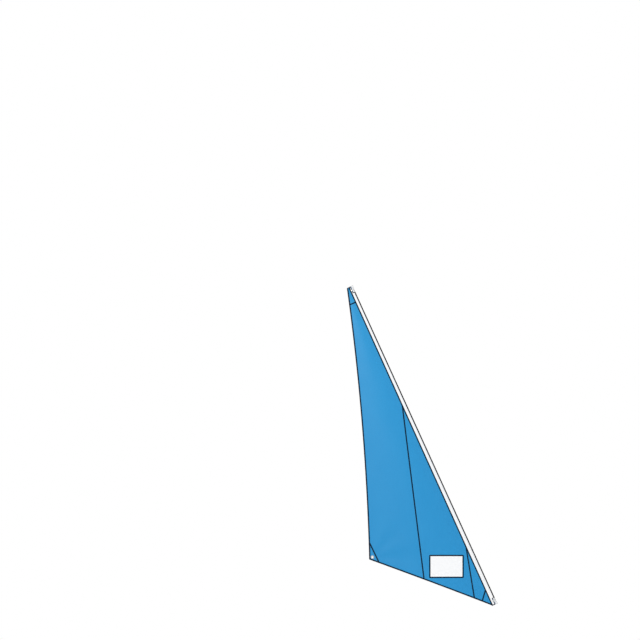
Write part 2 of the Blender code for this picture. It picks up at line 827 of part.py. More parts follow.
def turn_bends():
    """How far aft the middles of a turn's two bends lie: the fore one holds the neck with a
    clearance, and the aft one passes the bore."""
    fore = seizing_radius() - SEIZING_CORD / 2 - GAP - NECK_REACH
    return fore, CORNER_RING_AFT + SEIZING_IN_BORE - seizing_radius()


def turn_lengths():
    """Lengths of a turn's parts: port run ahead, fore bend, starboard run, aft bend, port run."""
    fore, aft = turn_bends()
    bend = math.pi * seizing_radius()
    return (SEIZING_END_AFT - fore, bend, aft - fore, bend, aft - SEIZING_END_AFT)


def turn_point(distance):
    """(aft, out) at a distance along one turn, which starts on the port face and runs ahead."""
    radius = seizing_radius()
    fore, aft = turn_bends()
    ahead, bend, run, _, back = turn_lengths()
    distance = distance % (ahead + 2 * bend + run + back)
    if distance < ahead:
        return (SEIZING_END_AFT - distance, radius)
    distance -= ahead
    if distance < bend:
        return (fore - radius * math.sin(distance / radius), radius * math.cos(distance / radius))
    distance -= bend
    if distance < run:
        return (fore + distance, -radius)
    distance -= run
    if distance < bend:
        return (aft + radius * math.sin(distance / radius), -radius * math.cos(distance / radius))
    return (aft - (distance - bend), radius)


def least_gap(path):
    """The least clearance between points of a seizing that lie half a turn or more apart."""
    half = len(path) // (2 * SEIZING_TURNS)
    return min((a - b).length for k, a in enumerate(path) for b in path[k + half:]) - SEIZING_CORD


def seizing(name, head, finish):
    whole = sum(turn_lengths())
    count = SEIZING_POINTS * SEIZING_TURNS
    path = []
    for k in range(count + 1):
        turns = SEIZING_TURNS * k / count
        along = SEIZING_START + SEIZING_PITCH * turns
        path.append(on_tape(end_along(along, head), *turn_point(turns * whole)))
    print(f"{name}: least gap between turns {least_gap(path) / MM:.2f} mm")
    curve = bpy.data.curves.new(name, "CURVE")
    curve.dimensions = "3D"
    curve.bevel_depth = SEIZING_CORD / 2
    curve.bevel_resolution = 1
    curve.use_fill_caps = True
    spline = curve.splines.new("POLY")
    spline.points.add(len(path) - 1)
    for point, spot in zip(spline.points, path):
        point.co = (*spot, 1)
    curve.materials.append(finish)
    made = bpy.data.objects.new(name, curve)
    bpy.context.scene.collection.objects.link(made)
    return made


def rigging(finish):
    """The luff wire with its eyes, which stays still while the sail swings."""
    made = [luff_wire(finish["steel"])]
    for corner, head in ENDS:
        made.append(thimble(f"{corner}_thimble", head, finish["steel"]))
        made.append(ferrule(f"{corner}_ferrule", head, finish["alloy"]))
    return made


def sail(finish):
    """The cloth, its bindings and tape, the eyelets and the seizings that go with them."""
    blue = finish["blue"]
    leech_panel = panel("leech_panel", blue, fore_seam=AFT_SEAM)
    panel("middle_panel", blue, aft_seam=AFT_SEAM, fore_seam=FORE_SEAM)
    tack_panel = panel("tack_panel", blue, aft_seam=FORE_SEAM)
    leech_binding(finish["navy"])
    foot_binding(finish["navy"])
    label_patch(finish["label"])

    drill_clew = eyelet("clew", CLEW_RING, *clew_ring_spot(), PATCH_TOP, finish["steel"])
    for piece in (leech_panel, *corner_patches("clew", blue)):
        cut(piece, drill_clew)

    tape = luff_tape(finish["white"])
    for corner, head in ENDS:
        centre = on_tape(end_along(corner_ring_along(), head), CORNER_RING_AFT)
        drill_corner = eyelet(corner, CORNER_RING, centre, OUT_TAPE, TAPE_TOP, finish["steel"])
        inner, outer = sorted((end_along(SLEEVE_START, head), end_along(-2 * TAPE_END, head)))
        cut(tape, nose_cutter(f"{corner}_cutout", inner, outer))
        for piece in (tape, leech_panel if head else tack_panel, *corner_patches(corner, blue)):
            cut(piece, drill_corner)
        seizing(f"{corner}_seizing", head, finish["cord"])


def hang_on_luff(pieces):
    """Parents the pieces to an empty whose own Z runs up the luff wire, so it swings the sail."""
    pivot = bpy.data.objects.new("sail_swing", None)
    pivot.empty_display_size = WIRE_SPAN / 10
    pivot.matrix_world = Matrix((-AFT, PORT, UP_LUFF)).transposed().to_4x4()
    bpy.context.scene.collection.objects.link(pivot)
    for piece in pieces:
        piece.parent = pivot
        piece.matrix_parent_inverse = pivot.matrix_world.inverted()


def main():
    for old in list(bpy.data.objects):
        bpy.data.objects.remove(old, do_unlink=True)
    finish = {key: material(*words) for key, words in FINISHES.items()}
    still = rigging(finish)
    sail(finish)
    hang_on_luff([made for made in bpy.data.objects if made not in still])


main()
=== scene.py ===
"""Looks of the jib sail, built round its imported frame.

Metres, +Z up, bow towards +X, port side towards +Y. A plan point is a pair (along, aft) in the
side view: along is measured up the luff from the tack eye, and aft square to the luff wire. The
third size, out, runs to port.
"""

import json
from itertools import pairwise
from math import (acos, asin, atan, atan2, ceil, copysign, cos, dist, exp, hypot, pi, radians,
                  sin, sqrt, tan, tau)

import bmesh
import bpy
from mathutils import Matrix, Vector, noise


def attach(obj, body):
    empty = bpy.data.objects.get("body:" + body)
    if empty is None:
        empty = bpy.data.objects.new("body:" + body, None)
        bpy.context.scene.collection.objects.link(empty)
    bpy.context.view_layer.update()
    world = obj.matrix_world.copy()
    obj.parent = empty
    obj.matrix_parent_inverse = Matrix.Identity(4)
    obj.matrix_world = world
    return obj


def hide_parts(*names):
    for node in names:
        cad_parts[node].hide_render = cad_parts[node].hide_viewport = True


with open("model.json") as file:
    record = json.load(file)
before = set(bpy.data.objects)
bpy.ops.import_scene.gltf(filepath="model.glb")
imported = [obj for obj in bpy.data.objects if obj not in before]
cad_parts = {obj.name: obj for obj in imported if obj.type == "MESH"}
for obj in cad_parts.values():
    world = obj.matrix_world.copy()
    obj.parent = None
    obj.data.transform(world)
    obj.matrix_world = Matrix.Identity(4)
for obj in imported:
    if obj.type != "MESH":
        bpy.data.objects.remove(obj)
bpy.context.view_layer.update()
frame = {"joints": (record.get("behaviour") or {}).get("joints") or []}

MM = 0.001

# Sail plan, the same as the frame's
WIRE_SPAN = 3130 * MM
FOOT_START = -1.2 * MM
FOOT_LENGTH = 1181 * MM
FOOT_ANGLE = radians(45.3)
HEAD_WIDTH = 51 * MM
LEECH_HOLLOW = 34 * MM
TAPE_END = 8 * MM
END_MARGIN = 1 * MM
BELLY_DEPTH = 0.07
BELLY_PLACE = 0.42
ENTRY = 0.2147

# Layers of cloth. A seam is given by its reach up the luff and along the foot.
CLOTH = 0.5 * MM
GAP = 0.3 * MM
SEAM_LAP = 12 * MM
SEAM_RAMP = 5 * MM
AFT_SEAM = (1951 * MM, 651 * MM)
FORE_SEAM = (552 * MM, 165 * MM)
TAPE_AFT_TACK = 48.5 * MM
TAPE_AFT_HEAD = 36 * MM
FLAT_AFT_HEAD = 42 * MM
NOSE_SLACK = 1.5 * MM
TAPE_TAPER = 2 * MM
BINDING = 12 * MM
TACK_PATCH = (147 * MM, 95 * MM)
CLEW_PATCH = (172 * MM, 102 * MM)
HEAD_PATCH = 150 * MM
LABEL_CENTRE = (485 * MM, 274 * MM)
LABEL_SIZE = (312 * MM, 209 * MM)
LABEL_CORNER = 9 * MM
LABEL_THICKNESS = 0.25 * MM

# Wire, eyes, rings and seizings
WIRE = 3 * MM
EYE_WIDTH = 11 * MM
THIMBLE_WALL = 1 * MM
THIMBLE_LIP = 1 * MM
THIMBLE_ROUND = 1.1 * MM
THIMBLE_SHORT = 6 * MM
EYE_TAPER = 16.2 * MM
NECK_SLACK = 1.3 * MM
FERRULE_LENGTH = 14 * MM
FERRULE_WALL = 1.3 * MM
FERRULE_CHAMFER = 0.8 * MM
WIRE_TAIL = 2 * MM
WIRE_JOG = 38 * MM
CUTOUT_MARGIN = 4 * MM
SWING_CLEARANCE = 2.2 * MM
SEIZING_CORD = 2 * MM
SEIZING_TURNS = 2
TURN_GAP = 0.6 * MM
SEIZING_END_AFT = 12 * MM
SEIZING_IN_BORE = 0.7 * MM
CLEW_RING = {"bore": 8 * MM, "outer": 15.5 * MM, "barrel": 0.7 * MM, "flange": 1.4 * MM,
             "washer": 1.0 * MM, "curl": 0.8 * MM, "reach": 1.6 * MM}
CORNER_RING = {"bore": 3.8 * MM, "outer": 7.7 * MM, "barrel": 0.6 * MM, "flange": 1.1 * MM,
               "washer": 0.8 * MM, "curl": 0.7 * MM, "reach": 1.1 * MM}
CLEW_RING_MARGIN = 1.5 * MM
CORNER_RING_MARGIN = 0.6 * MM

# Places that follow from the sizes above
HALF = CLOTH / 2
LAP_LIFT = (CLOTH + GAP) / 2
PATCH_LIFT = CLOTH + GAP
PATCH_TOP = PATCH_LIFT + HALF
TAPE_TOP = PATCH_TOP + GAP + CLOTH
TAPE_SLOPE = (TAPE_AFT_HEAD - TAPE_AFT_TACK) / WIRE_SPAN
PAIR = WIRE / 2 + GAP / 2
NECK_REACH = PAIR + WIRE / 2
GROOVE = WIRE / 2 + GAP
CROWN = EYE_WIDTH / 2 + THIMBLE_WALL + GROOVE
NECK_START = CROWN + EYE_TAPER
THIMBLE_END = NECK_START - THIMBLE_SHORT
SEIZING_PITCH = SEIZING_CORD + TURN_GAP
SEIZING_START = NECK_START + SEIZING_CORD / 2 + GAP
FERRULE_START = NECK_START + SEIZING_TURNS * SEIZING_PITCH + NECK_SLACK
FERRULE_END = FERRULE_START + FERRULE_LENGTH
WIRE_END = FERRULE_END + WIRE_TAIL
SLEEVE_START = WIRE_END + CUTOUT_MARGIN
TAPE_NOSE = NECK_REACH + NOSE_SLACK
CLOTH_INSET = CROWN + WIRE / 2 + SWING_CLEARANCE
TAPE_FLAT = CLOTH_INSET + TAPE_TAPER
CORNER_RING_AFT = CLOTH_INSET + CORNER_RING_MARGIN + CORNER_RING["outer"]

PORT = Vector((0, 1, 0))
UP_LUFF = Vector(frame["joints"][0]["axis"]).normalized()
AFT = UP_LUFF.cross(PORT)
ENTRY_ANGLE = atan(ENTRY)
ENTRY_COSINE = cos(ENTRY_ANGLE)
AFT_TAPE = AFT * ENTRY_COSINE + PORT * sin(ENTRY_ANGLE)
OUT_TAPE = PORT * ENTRY_COSINE - AFT * sin(ENTRY_ANGLE)

# Unevenness of the cloth. Each of SLOW_LAYERS is a share of the height, how much finer its waves
# are aft, its waves a metre up the luff and its place in the noise.
SLOW_WAVE = 3.4 * MM
SLOW_WAVES_AFT = 3.1
SLOW_WAVES_SKEW = 0.35
SLOW_LAYERS = ((1.0, 1.0, 0.85, 3.7), (0.45, 2.3, 2.1, 9.1))
SEAM_DRAW = 1.3 * MM
SEAM_DRAW_WIDTH = 30 * MM
LEECH_WAVE = 2.2 * MM
LEECH_WAVE_WIDTH = 90 * MM
LEECH_WAVES = 5.2
LEECH_NOISE = (0.3, 1.7)
BELL_REACH = 3
FAN_HEIGHT = 1.7 * MM
FAN_FOLDS = 9
FAN_BEND = 0.7
FAN_START = 51 * MM
FAN_PEAK = 170 * MM
CALM_LUFF = 110 * MM
CALM_RING = (1.1, 7)
NOSE_WAVE = 0.35 * MM
NOSE_WAVES = 31

# Fineness of the visible cloth
ROW_COUNT = 176
TAPE_CELLS = 3
CLOTH_CELLS = 72
EDGE_CELLS = 2
LEECH_STEP = 0.01
HALVINGS = 40

# Dark bands and how layers lie over each other. A patch's edge lies HEM_SPREAD beyond its line.
PATCH_HEM = 12 * MM
HEM_SPREAD = 3 * MM
LABEL_BORDER = 12.5 * MM
NOSE_BAND = 9.8 * MM
TAPE_HEM = 11.5 * MM
TAPE_ENDS = 9 * MM
CUT_BAND = 7 * MM
ROOM_SLACK = 4 * MM
ROOM_RAMP = 18 * MM
TAPE_CLOSING = 8 * MM
BUTT_GAP = 0.15 * MM

# Stitching. A row's share is its place between a binding's inner edge and its rim. The arch of
# a stitch has places along it and their heights in thicknesses of the thread.
THREAD = 0.55 * MM
THREAD_SIDES = 5
THREAD_TURN = 0.3
STITCH_STEP = 3.4 * MM
STITCH_END = 2.5 * MM
STITCH_ARCH = ((0.0, -0.3), (0.14, 0.3), (0.5, 0.45), (0.86, 0.3), (1.0, -0.3))
SEAM_STITCH = 4.2 * MM
LUFF_STITCH = 3.8 * MM
BINDING_STITCH = 4.4 * MM
LABEL_STITCH = 3.6 * MM
LUFF_STITCH_SHIFT = 0.4 * MM
LEECH_ROW = 0.38
FOOT_ROW = 0.4
PATCH_STITCH_END = 3 * MM
PATCH_STITCH_START = 4 * MM
ROUNDING = 1e-9
BOTH = (-1, 1)

QUARTERS = ((1, 1), (-1, 1), (-1, -1), (1, -1))
# The luff's ends, and whether each is the head
ENDS = (("tack", False), ("head", True))


def mix(a, b, share):
    return a + (b - a) * share


def stepped(low, high, count):
    """Equal steps from low to high, with both ends."""
    return [mix(low, high, k / count) for k in range(count + 1)]


def eased(value, low, high):
    """A smooth step from 0 at low to 1 at high."""
    share = min(1.0, max(0.0, (value - low) / (high - low)))
    return share * share * (3 - 2 * share)


def bell(off):
    return exp(-off * off) if abs(off) < BELL_REACH else 0.0


# Plan geometry


def place(along, aft, out=0.0):
    return UP_LUFF * along + AFT * aft + PORT * out


def plan_point(vector):
    return (vector.dot(UP_LUFF), vector.dot(AFT))


def between(p, q, share):
    return (mix(p[0], q[0], share), mix(p[1], q[1], share))


def crossed(a, b):
    return a[0] * b[1] - a[1] * b[0]


def unit(p, q):
    length = dist(p, q)
    return ((q[0] - p[0]) / length, (q[1] - p[1]) / length)


def onward(point, run, reach):
    return (point[0] + run[0] * reach, point[1] + run[1] * reach)


def turned(run):
    return (-run[1], run[0])


def shifted(line, distance):
    return tuple(onward(point, turned(unit(*line)), distance) for point in line)


def beside(p, q, point):
    """Signed distance of a point from the line p to q."""
    return crossed(unit(p, q), (point[0] - p[0], point[1] - p[1]))


def binding_reach(run, rim):
    """How far a line with this run goes on while it crosses a binding along a rim."""
    return BINDING / abs(crossed(run, rim))


def end_along(distance, head):
    """The place up the luff of something at this distance from the eye at one end."""
    return WIRE_SPAN - distance if head else distance


def tape_edge(along):
    return mix(TAPE_AFT_TACK, TAPE_AFT_HEAD, along / WIRE_SPAN)


def luff_point(along):
    return (along, tape_edge(along))


FOOT_DIRECTION = (sin(FOOT_ANGLE), cos(FOOT_ANGLE))
TACK_CORNER = luff_point(FOOT_START)
CLEW_CORNER = onward(TACK_CORNER, FOOT_DIRECTION, FOOT_LENGTH)
HEAD_CORNER = (WIRE_SPAN + TAPE_END - END_MARGIN, HEAD_WIDTH)
CORNERS = {"tack": TACK_CORNER, "clew": CLEW_CORNER, "head": HEAD_CORNER}
LEECH_DIRECTION = unit(CLEW_CORNER, HEAD_CORNER)


def foot_point(distance):
    return between(TACK_CORNER, CLEW_CORNER, distance / FOOT_LENGTH)


def leech_point(share):
    """A point on the hollow leech, from the clew (0) to the head (1)."""
    straight = between(CLEW_CORNER, HEAD_CORNER, share)
    return onward(straight, turned(LEECH_DIRECTION), -4 * LEECH_HOLLOW * share * (1 - share))


def leech_share(distance):
    """The share of the leech at a straight distance from the clew."""
    low, high = 0.0, 1.0
    for _ in range(HALVINGS):
        middle = (low + high) / 2
        if dist(CLEW_CORNER, leech_point(middle)) < distance:
            low = middle
        else:
            high = middle
    return low


def share_up(along):
    """The share of the way from the clew to the head, measured up the luff."""
    return (along - CLEW_CORNER[0]) / (HEAD_CORNER[0] - CLEW_CORNER[0])


CLEW_TURN = unit(CLEW_CORNER, leech_point(LEECH_STEP))
AFT_LINE, FORE_LINE = [(luff_point(up), foot_point(aft)) for up, aft in (AFT_SEAM, FORE_SEAM)]
SEAM_LINES = (AFT_LINE, FORE_LINE)
HEAD_PATCH_LOW = HEAD_CORNER[0] - HEAD_PATCH
PATCH_LINES = {
    "tack": (luff_point(FOOT_START + TACK_PATCH[0]), foot_point(TACK_PATCH[1])),
    "clew": (leech_point(leech_share(CLEW_PATCH[0])), foot_point(FOOT_LENGTH - CLEW_PATCH[1])),
    "head": ((HEAD_PATCH_LOW, 0), (HEAD_PATCH_LOW, HEAD_WIDTH)),
}
PATCH_SIDES = {corner: copysign(1, beside(*PATCH_LINES[corner], spot))
               for corner, spot in CORNERS.items()}
PATCH_EDGES = {corner: shifted(line, -HEM_SPREAD * PATCH_SIDES[corner])
               for corner, line in PATCH_LINES.items()}


def into_patch(corner, point):
    """How far a point lies inside a corner's patch line, negative outside it."""
    return beside(*PATCH_LINES[corner], point) * PATCH_SIDES[corner]


def clew_ring_plan():
    """The ring's centre, as far from the leech binding as from the foot binding."""
    ahead = (-FOOT_DIRECTION[0], -FOOT_DIRECTION[1])
    half = acos(CLEW_TURN[0] * ahead[0] + CLEW_TURN[1] * ahead[1]) / 2
    inward = unit((0, 0), (CLEW_TURN[0] + ahead[0], CLEW_TURN[1] + ahead[1]))
    reach = (BINDING + CLEW_RING["outer"] + CLEW_RING_MARGIN) / sin(half)
    return onward(CLEW_CORNER, inward, reach)


CLEW_SPOT = clew_ring_plan()
# Each fan's centre, share of the height, phase and far end
FANS = ((CLEW_SPOT, 1.0, 0.4, 660 * MM), (TACK_CORNER, 0.8, 1.9, 700 * MM))


# Flying shape, with the small unevenness of sewn and stretched cloth


def belly(share):
    top = BELLY_PLACE
    ease = -(1 - 2 * top) / (2 * top - 3 * top**2)
    entry = BELLY_DEPTH / (top * (1 - top) * (1 + ease * top))
    return entry * ((ease - 1) * share**2 - ease * share**3)


def smooth_height(along, aft):
    start = mix(TAPE_AFT_TACK, FLAT_AFT_HEAD, along / WIRE_SPAN)
    if aft <= start:
        return aft * ENTRY
    room = mix(CLEW_CORNER[1], HEAD_CORNER[1], share_up(along)) - start
    return aft * ENTRY + room * belly((aft - start) / room)


def fan(point, centre, phase, far):
    """Folds that fan out from a corner, highest at FAN_PEAK and gone at far."""
    run, rise = point[0] - centre[0], point[1] - centre[1]
    reach = hypot(run, rise)
    if reach > far:
        return 0.0
    turn = atan2(rise, run)
    strength = eased(reach, FAN_START, FAN_PEAK) * (1 - eased(reach, FAN_PEAK, far))
    return strength * sin(FAN_FOLDS * turn + phase + FAN_BEND * sin(2 * turn))


def unevenness(along, aft):
    """How far the real cloth strays from the smooth flying shape."""
    point = (along, aft)
    free = eased(aft - tape_edge(along), 0, CALM_LUFF)
    if free <= 0:
        return 0.0
    across = aft * SLOW_WAVES_AFT + along * SLOW_WAVES_SKEW
    total = SLOW_WAVE * sum(height * noise.noise(Vector((across * finer, along * waves, spot)))
                            for height, finer, waves, spot in SLOW_LAYERS)
    for line in SEAM_LINES:
        total -= SEAM_DRAW * bell(beside(*line, point) / SEAM_DRAW_WIDTH)
    for centre, height, phase, far in FANS:
        total += height * FAN_HEIGHT * fan(point, centre, phase, far)
    leech = bell(beside(CLEW_CORNER, HEAD_CORNER, point) / LEECH_WAVE_WIDTH)
    total += LEECH_WAVE * leech * noise.noise(Vector((along * LEECH_WAVES, *LEECH_NOISE)))
    near, far = (CLEW_RING["outer"] * times for times in CALM_RING)
    return total * free * eased(dist(point, CLEW_SPOT), near, far)


def on_sail(point, out=0.0):
    return place(*point, smooth_height(*point) + unevenness(*point) + out)


def on_tape(along, aft, out=0.0):
    """A place in the luff tape's own plane, which leaves the wire at the entry angle."""
    return UP_LUFF * along + AFT_TAPE * aft + OUT_TAPE * out


# Rows of plan points, from the cloth's luff edge to the leech


def row_points(near, far, tangent):
    """A row over the tape, the open cloth and the binding. The tangent is the leech's there."""
    rise, run = far[0] - near[0], far[1] - near[1]
    at_tape = (tape_edge(near[0]) - near[1]) / (run - TAPE_SLOPE * rise)
    at_binding = 1 - binding_reach((rise, run), tangent)
    shares = [*stepped(0, at_tape, TAPE_CELLS), *stepped(at_tape, at_binding, CLOTH_CELLS)[1:],
              *stepped(at_binding, 1, EDGE_CELLS)[1:]]
    return [between(near, far, share) for share in shares]


def lattice_rows():
    """The foot, the row one binding above it, and the rows from there to the head."""
    foot_along = TACK_CORNER[0] - (TACK_CORNER[1] - CLOTH_INSET) * tan(FOOT_ANGLE)
    first_share = leech_share(binding_reach(CLEW_TURN, FOOT_DIRECTION))
    first_along = foot_along + BINDING / cos(FOOT_ANGLE)
    rows = [row_points((foot_along, CLOTH_INSET), CLEW_CORNER, CLEW_TURN)]
    for share, along in zip(stepped(first_share, 1, ROW_COUNT),
                            stepped(first_along, HEAD_CORNER[0], ROW_COUNT)):
        tangent = unit(leech_point(share - LEECH_STEP), leech_point(share))
        rows.append(row_points((along, CLOTH_INSET), leech_point(share), tangent))
    return rows


ROWS = lattice_rows()
LEECH_INNER, LEECH_RIM = [[row[k] for row in ROWS] for k in (-1 - EDGE_CELLS, -1)]
FOOT_RIM, FOOT_INNER = [row[TAPE_CELLS:-EDGE_CELLS] for row in ROWS[:2]]


# Node materials


class Nodes:
    """The node tree of a material or a world, with short ways to add and join nodes."""

    def __init__(self, owner):
        owner.use_nodes = True
        self.owner = owner
        self.tree = owner.node_tree

    def add(self, kind, inputs=(), **settings):
        """A node. Each of its inputs is given a value, or the socket that feeds it."""
        node = self.tree.nodes.new("ShaderNode" + kind)
        for key, value in settings.items():
            setattr(node, key, value)
        self.feed(node, inputs)
        return node

    def feed(self, node, inputs):
        for key, value in dict(inputs).items():
            if isinstance(value, bpy.types.NodeSocket):
                self.tree.links.new(value, node.inputs[key])
            else:
                node.inputs[key].default_value = value

    def math(self, operation, *values):
        return self.add("Math", enumerate(values), operation=operation).outputs[0]

    def mixed(self, share, a, b):
        """Colour a at share 0 and colour b at share 1."""
        return self.add("Mix", {0: share, 6: a, 7: b}, data_type="RGBA").outputs[2]

    def ranged(self, value, taken, given):
        """Takes the range taken, which is (low, high), to the range given."""
        return self.add("MapRange", enumerate((value, *taken, *given))).outputs[0]

    def mapped(self, vector, rotation=(0, 0, 0), scale=(1, 1, 1)):
        inputs = {"Vector": vector, "Rotation": rotation, "Scale": scale}
        return self.add("Mapping", inputs).outputs[0]

    def noise(self, vector, scale, detail=2.0, roughness=0.5):
        inputs = {"Vector": vector, "Scale": scale, "Detail": detail, "Roughness": roughness}
        return self.add("TexNoise", inputs).outputs[0]

    def bands(self, vector, width, direction):
        """Soft bands of this width, square to the direction."""
        inputs = {"Vector": vector, "Scale": BAND_WIDTH / width, "Distortion": 0.0}
        return self.add("TexWave", inputs, wave_type="BANDS",
                        bands_direction=direction).outputs["Fac"]

    def bump(self, height, distance, strength, over=None):
        """A normal that shows a height, on top of the normal over."""
        inputs = {"Height": height, "Distance": distance, "Strength": strength}
        if over:
            inputs["Normal"] = over
        return self.add("Bump", inputs).outputs[0]

    def finished(self, inputs):
        self.feed(self.tree.nodes["Principled BSDF"], inputs)
        return self.owner


def new_finish(name):
    """The nodes of a new material, and where on the object they are."""
    nodes = Nodes(bpy.data.materials.new(name))
    return nodes, nodes.add("TexCoord").outputs["Object"]


def colour(*parts):
    """A colour given as it looks on a screen, 0 to 255, as the linear value that shaders take."""
    linear = [(c / 255) / 12.92 if c <= 10 else ((c / 255 + 0.055) / 1.055) ** 2.4 for c in parts]
    return (*linear, 1.0)


# Width in metres that a wave texture of scale 1 gives its bands
BAND_WIDTH = 0.3142
WARP = place(*AFT_LINE[0]) - place(*AFT_LINE[1])
WARP_TURN = (0, -atan2(WARP.x, WARP.z), 0)
WARP_SLUBS = (260, 1, 5)
WEFT_SLUBS = (4, 1, 230)
# Shares of the threads in the tone, of the creases in the relief and of the weave in the wear
THREAD_TONE = 0.65
CREASE_RELIEF = 0.55
WEAVE_WEAR = -0.2
CREASE_SCALE = (1, 1, 0.6)
CREASES = {"Scale": 4.5, "Detail": 5.0, "Roughness": 0.45, "Lacunarity": 2.3, "Distortion": 0.6}
CLOTH_ROUGHNESS = (0.42, 0.60)
# The heights between which the blue gets its deeper tone, and how much of it at either
DEEPER = ((0.0, 2.6), (0.35, 0.0))
THREAD_LAY = 0.35 * MM
THREAD_LEAN = (0, 0.6, 0)
THREAD_SHADE = 0.7
BRUSHING = (1, 6, 1)
METAL_SPREAD = 0.12
# Scales of the noises
TONE_NOISE = 3.4
RELIEF_NOISE = 16.0
FUZZ_NOISE = 700.0
FIBRE_NOISE = 1500.0
DIRT_NOISE = 90.0
MARK_NOISE = 420.0
WEAR_NOISE = 130.0
PIT_NOISE = 1900.0
FLOOR_NOISE = 9.0


def plain_weave(nodes, cloth, yarn):
    """Height of a plain weave, where warp and weft rise in turn, from 0 in the gaps to 1."""
    rows, columns = [nodes.bands(cloth, yarn, side) for side in "XZ"]
    pairs = [nodes.math("ROUND", nodes.bands(cloth, 2 * yarn, side)) for side in "XZ"]
    odd = nodes.math("ABSOLUTE", nodes.math("SUBTRACT", *pairs))
    crowns = nodes.add("Mix", {0: odd, 2: rows, 3: columns}, data_type="FLOAT").outputs[0]
    return nodes.math("MULTIPLY", crowns,
                      nodes.math("SQRT", nodes.math("MAXIMUM", rows, columns)))


def woven(name, gap_shade_colour, tones, gloss, deeper=None, yarn=0.7 * MM, depth=0.10 * MM,
          crumple=0.9 * MM, shade=0.22):
    """A plain weave whose warp runs with the seams. The colour given for the gaps between the
    threads is painted shade in the weave's hollows, and shade is its strength; the two tones are
    those of the darker and the paler threads.
    deeper is a tone that comes in towards the foot."""
    nodes, spot = new_finish(name)
    cloth = nodes.mapped(spot, rotation=WARP_TURN)
    weave = plain_weave(nodes, cloth, yarn)
    slubs = nodes.math("ADD", nodes.noise(nodes.mapped(cloth, scale=WARP_SLUBS), 1.0, detail=3.0),
                       nodes.noise(nodes.mapped(cloth, scale=WEFT_SLUBS), 1.0))
    threads = nodes.math("MULTIPLY", slubs, 0.5)
    patches = nodes.noise(spot, TONE_NOISE, detail=4.0, roughness=0.55)
    tone = nodes.math("ADD", nodes.math("MULTIPLY", threads, THREAD_TONE),
                      nodes.math("MULTIPLY", patches, 1 - THREAD_TONE))
    dark, light = (colour(*parts) for parts in tones)
    tinted = nodes.mixed(nodes.ranged(tone, (0.3, 0.7), (0, 1)), dark, light)
    # The hollows between the threads are darkened with painted shade.
    painted_gap_shade = nodes.math("MULTIPLY", nodes.math("SUBTRACT", 1.0, weave), shade)
    tinted = nodes.mixed(painted_gap_shade, tinted, colour(*gap_shade_colour))
    if deeper:
        height = nodes.add("SeparateXYZ", {0: spot}).outputs[2]
        tinted = nodes.mixed(nodes.ranged(height, *DEEPER), tinted, colour(*deeper))
    worn = nodes.math("ADD", threads, nodes.math("MULTIPLY", weave, WEAVE_WEAR))
    creases = nodes.add("TexNoise", {"Vector": nodes.mapped(spot, scale=CREASE_SCALE), **CREASES},
                        noise_type="RIDGED_MULTIFRACTAL").outputs[0]
    relief = nodes.math("ADD", nodes.math("MULTIPLY", creases, CREASE_RELIEF),
                        nodes.noise(spot, RELIEF_NOISE, detail=3.0))
    crumpled = nodes.bump(relief, crumple, 0.6)
    return nodes.finished({"Base Color": tinted, "Specular IOR Level": gloss,
                           "Roughness": nodes.ranged(worn, (0.2, 0.8), CLOTH_ROUGHNESS),
                           "Normal": nodes.bump(weave, depth, 0.7, over=crumpled)})


def navy_thread():
    nodes, spot = new_finish("navy_thread")
    lay = nodes.bands(nodes.mapped(spot, rotation=THREAD_LEAN), THREAD_LAY, "DIAGONAL")
    fuzz = nodes.noise(spot, FUZZ_NOISE)
    tone = colour(10, 40, 66)
    # The grooves of the thread's lay are darkened with painted shade.
    dark = (*(part * THREAD_SHADE for part in tone[:3]), 1)
    return nodes.finished({"Base Color": nodes.mixed(nodes.math("MULTIPLY", lay, 0.5), tone, dark),
                           "Roughness": nodes.ranged(fuzz, (0, 1), (0.5, 0.7)),
                           "Normal": nodes.bump(lay, 0.03 * MM, 0.6), "Sheen Weight": 0.2})


def cord_yarn():
    nodes, spot = new_finish("cord_yarn")
    fibres = nodes.noise(spot, FIBRE_NOISE)
    dirt = nodes.ranged(nodes.noise(spot, DIRT_NOISE, detail=3.0), (0.35, 0.75), (0, 0.4))
    tinted = nodes.mixed(dirt, colour(236, 236, 232), colour(205, 203, 196))
    return nodes.finished({"Base Color": tinted,
                           "Roughness": nodes.ranged(fibres, (0, 1), (0.6, 0.8)),
                           "Normal": nodes.bump(fibres, 0.03 * MM, 0.5), "Sheen Weight": 0.15})


def metal(name, tone, worn, smooth):
    """Brushed or polished metal with handling marks and slightly dull, darker wear. smooth is
    its lowest roughness."""
    nodes, spot = new_finish(name)
    marks = nodes.noise(nodes.mapped(spot, scale=BRUSHING), MARK_NOISE, detail=3.0)
    cloud = nodes.noise(spot, WEAR_NOISE, detail=4.0, roughness=0.6)
    pits = nodes.noise(spot, PIT_NOISE)
    wear = nodes.ranged(cloud, (0.35, 0.75), (0, 1))
    rough = nodes.math("ADD", nodes.ranged(marks, (0.3, 0.7), (smooth, smooth + METAL_SPREAD)),
                       nodes.ranged(cloud, (0.4, 0.8), (0, METAL_SPREAD)))
    brushed = nodes.bump(marks, 0.02 * MM, 0.35)
    return nodes.finished({"Base Color": nodes.mixed(wear, colour(*tone), colour(*worn)),
                           "Metallic": 1.0, "Roughness": rough,
                           "Normal": nodes.bump(pits, 0.01 * MM, 0.3, over=brushed)})
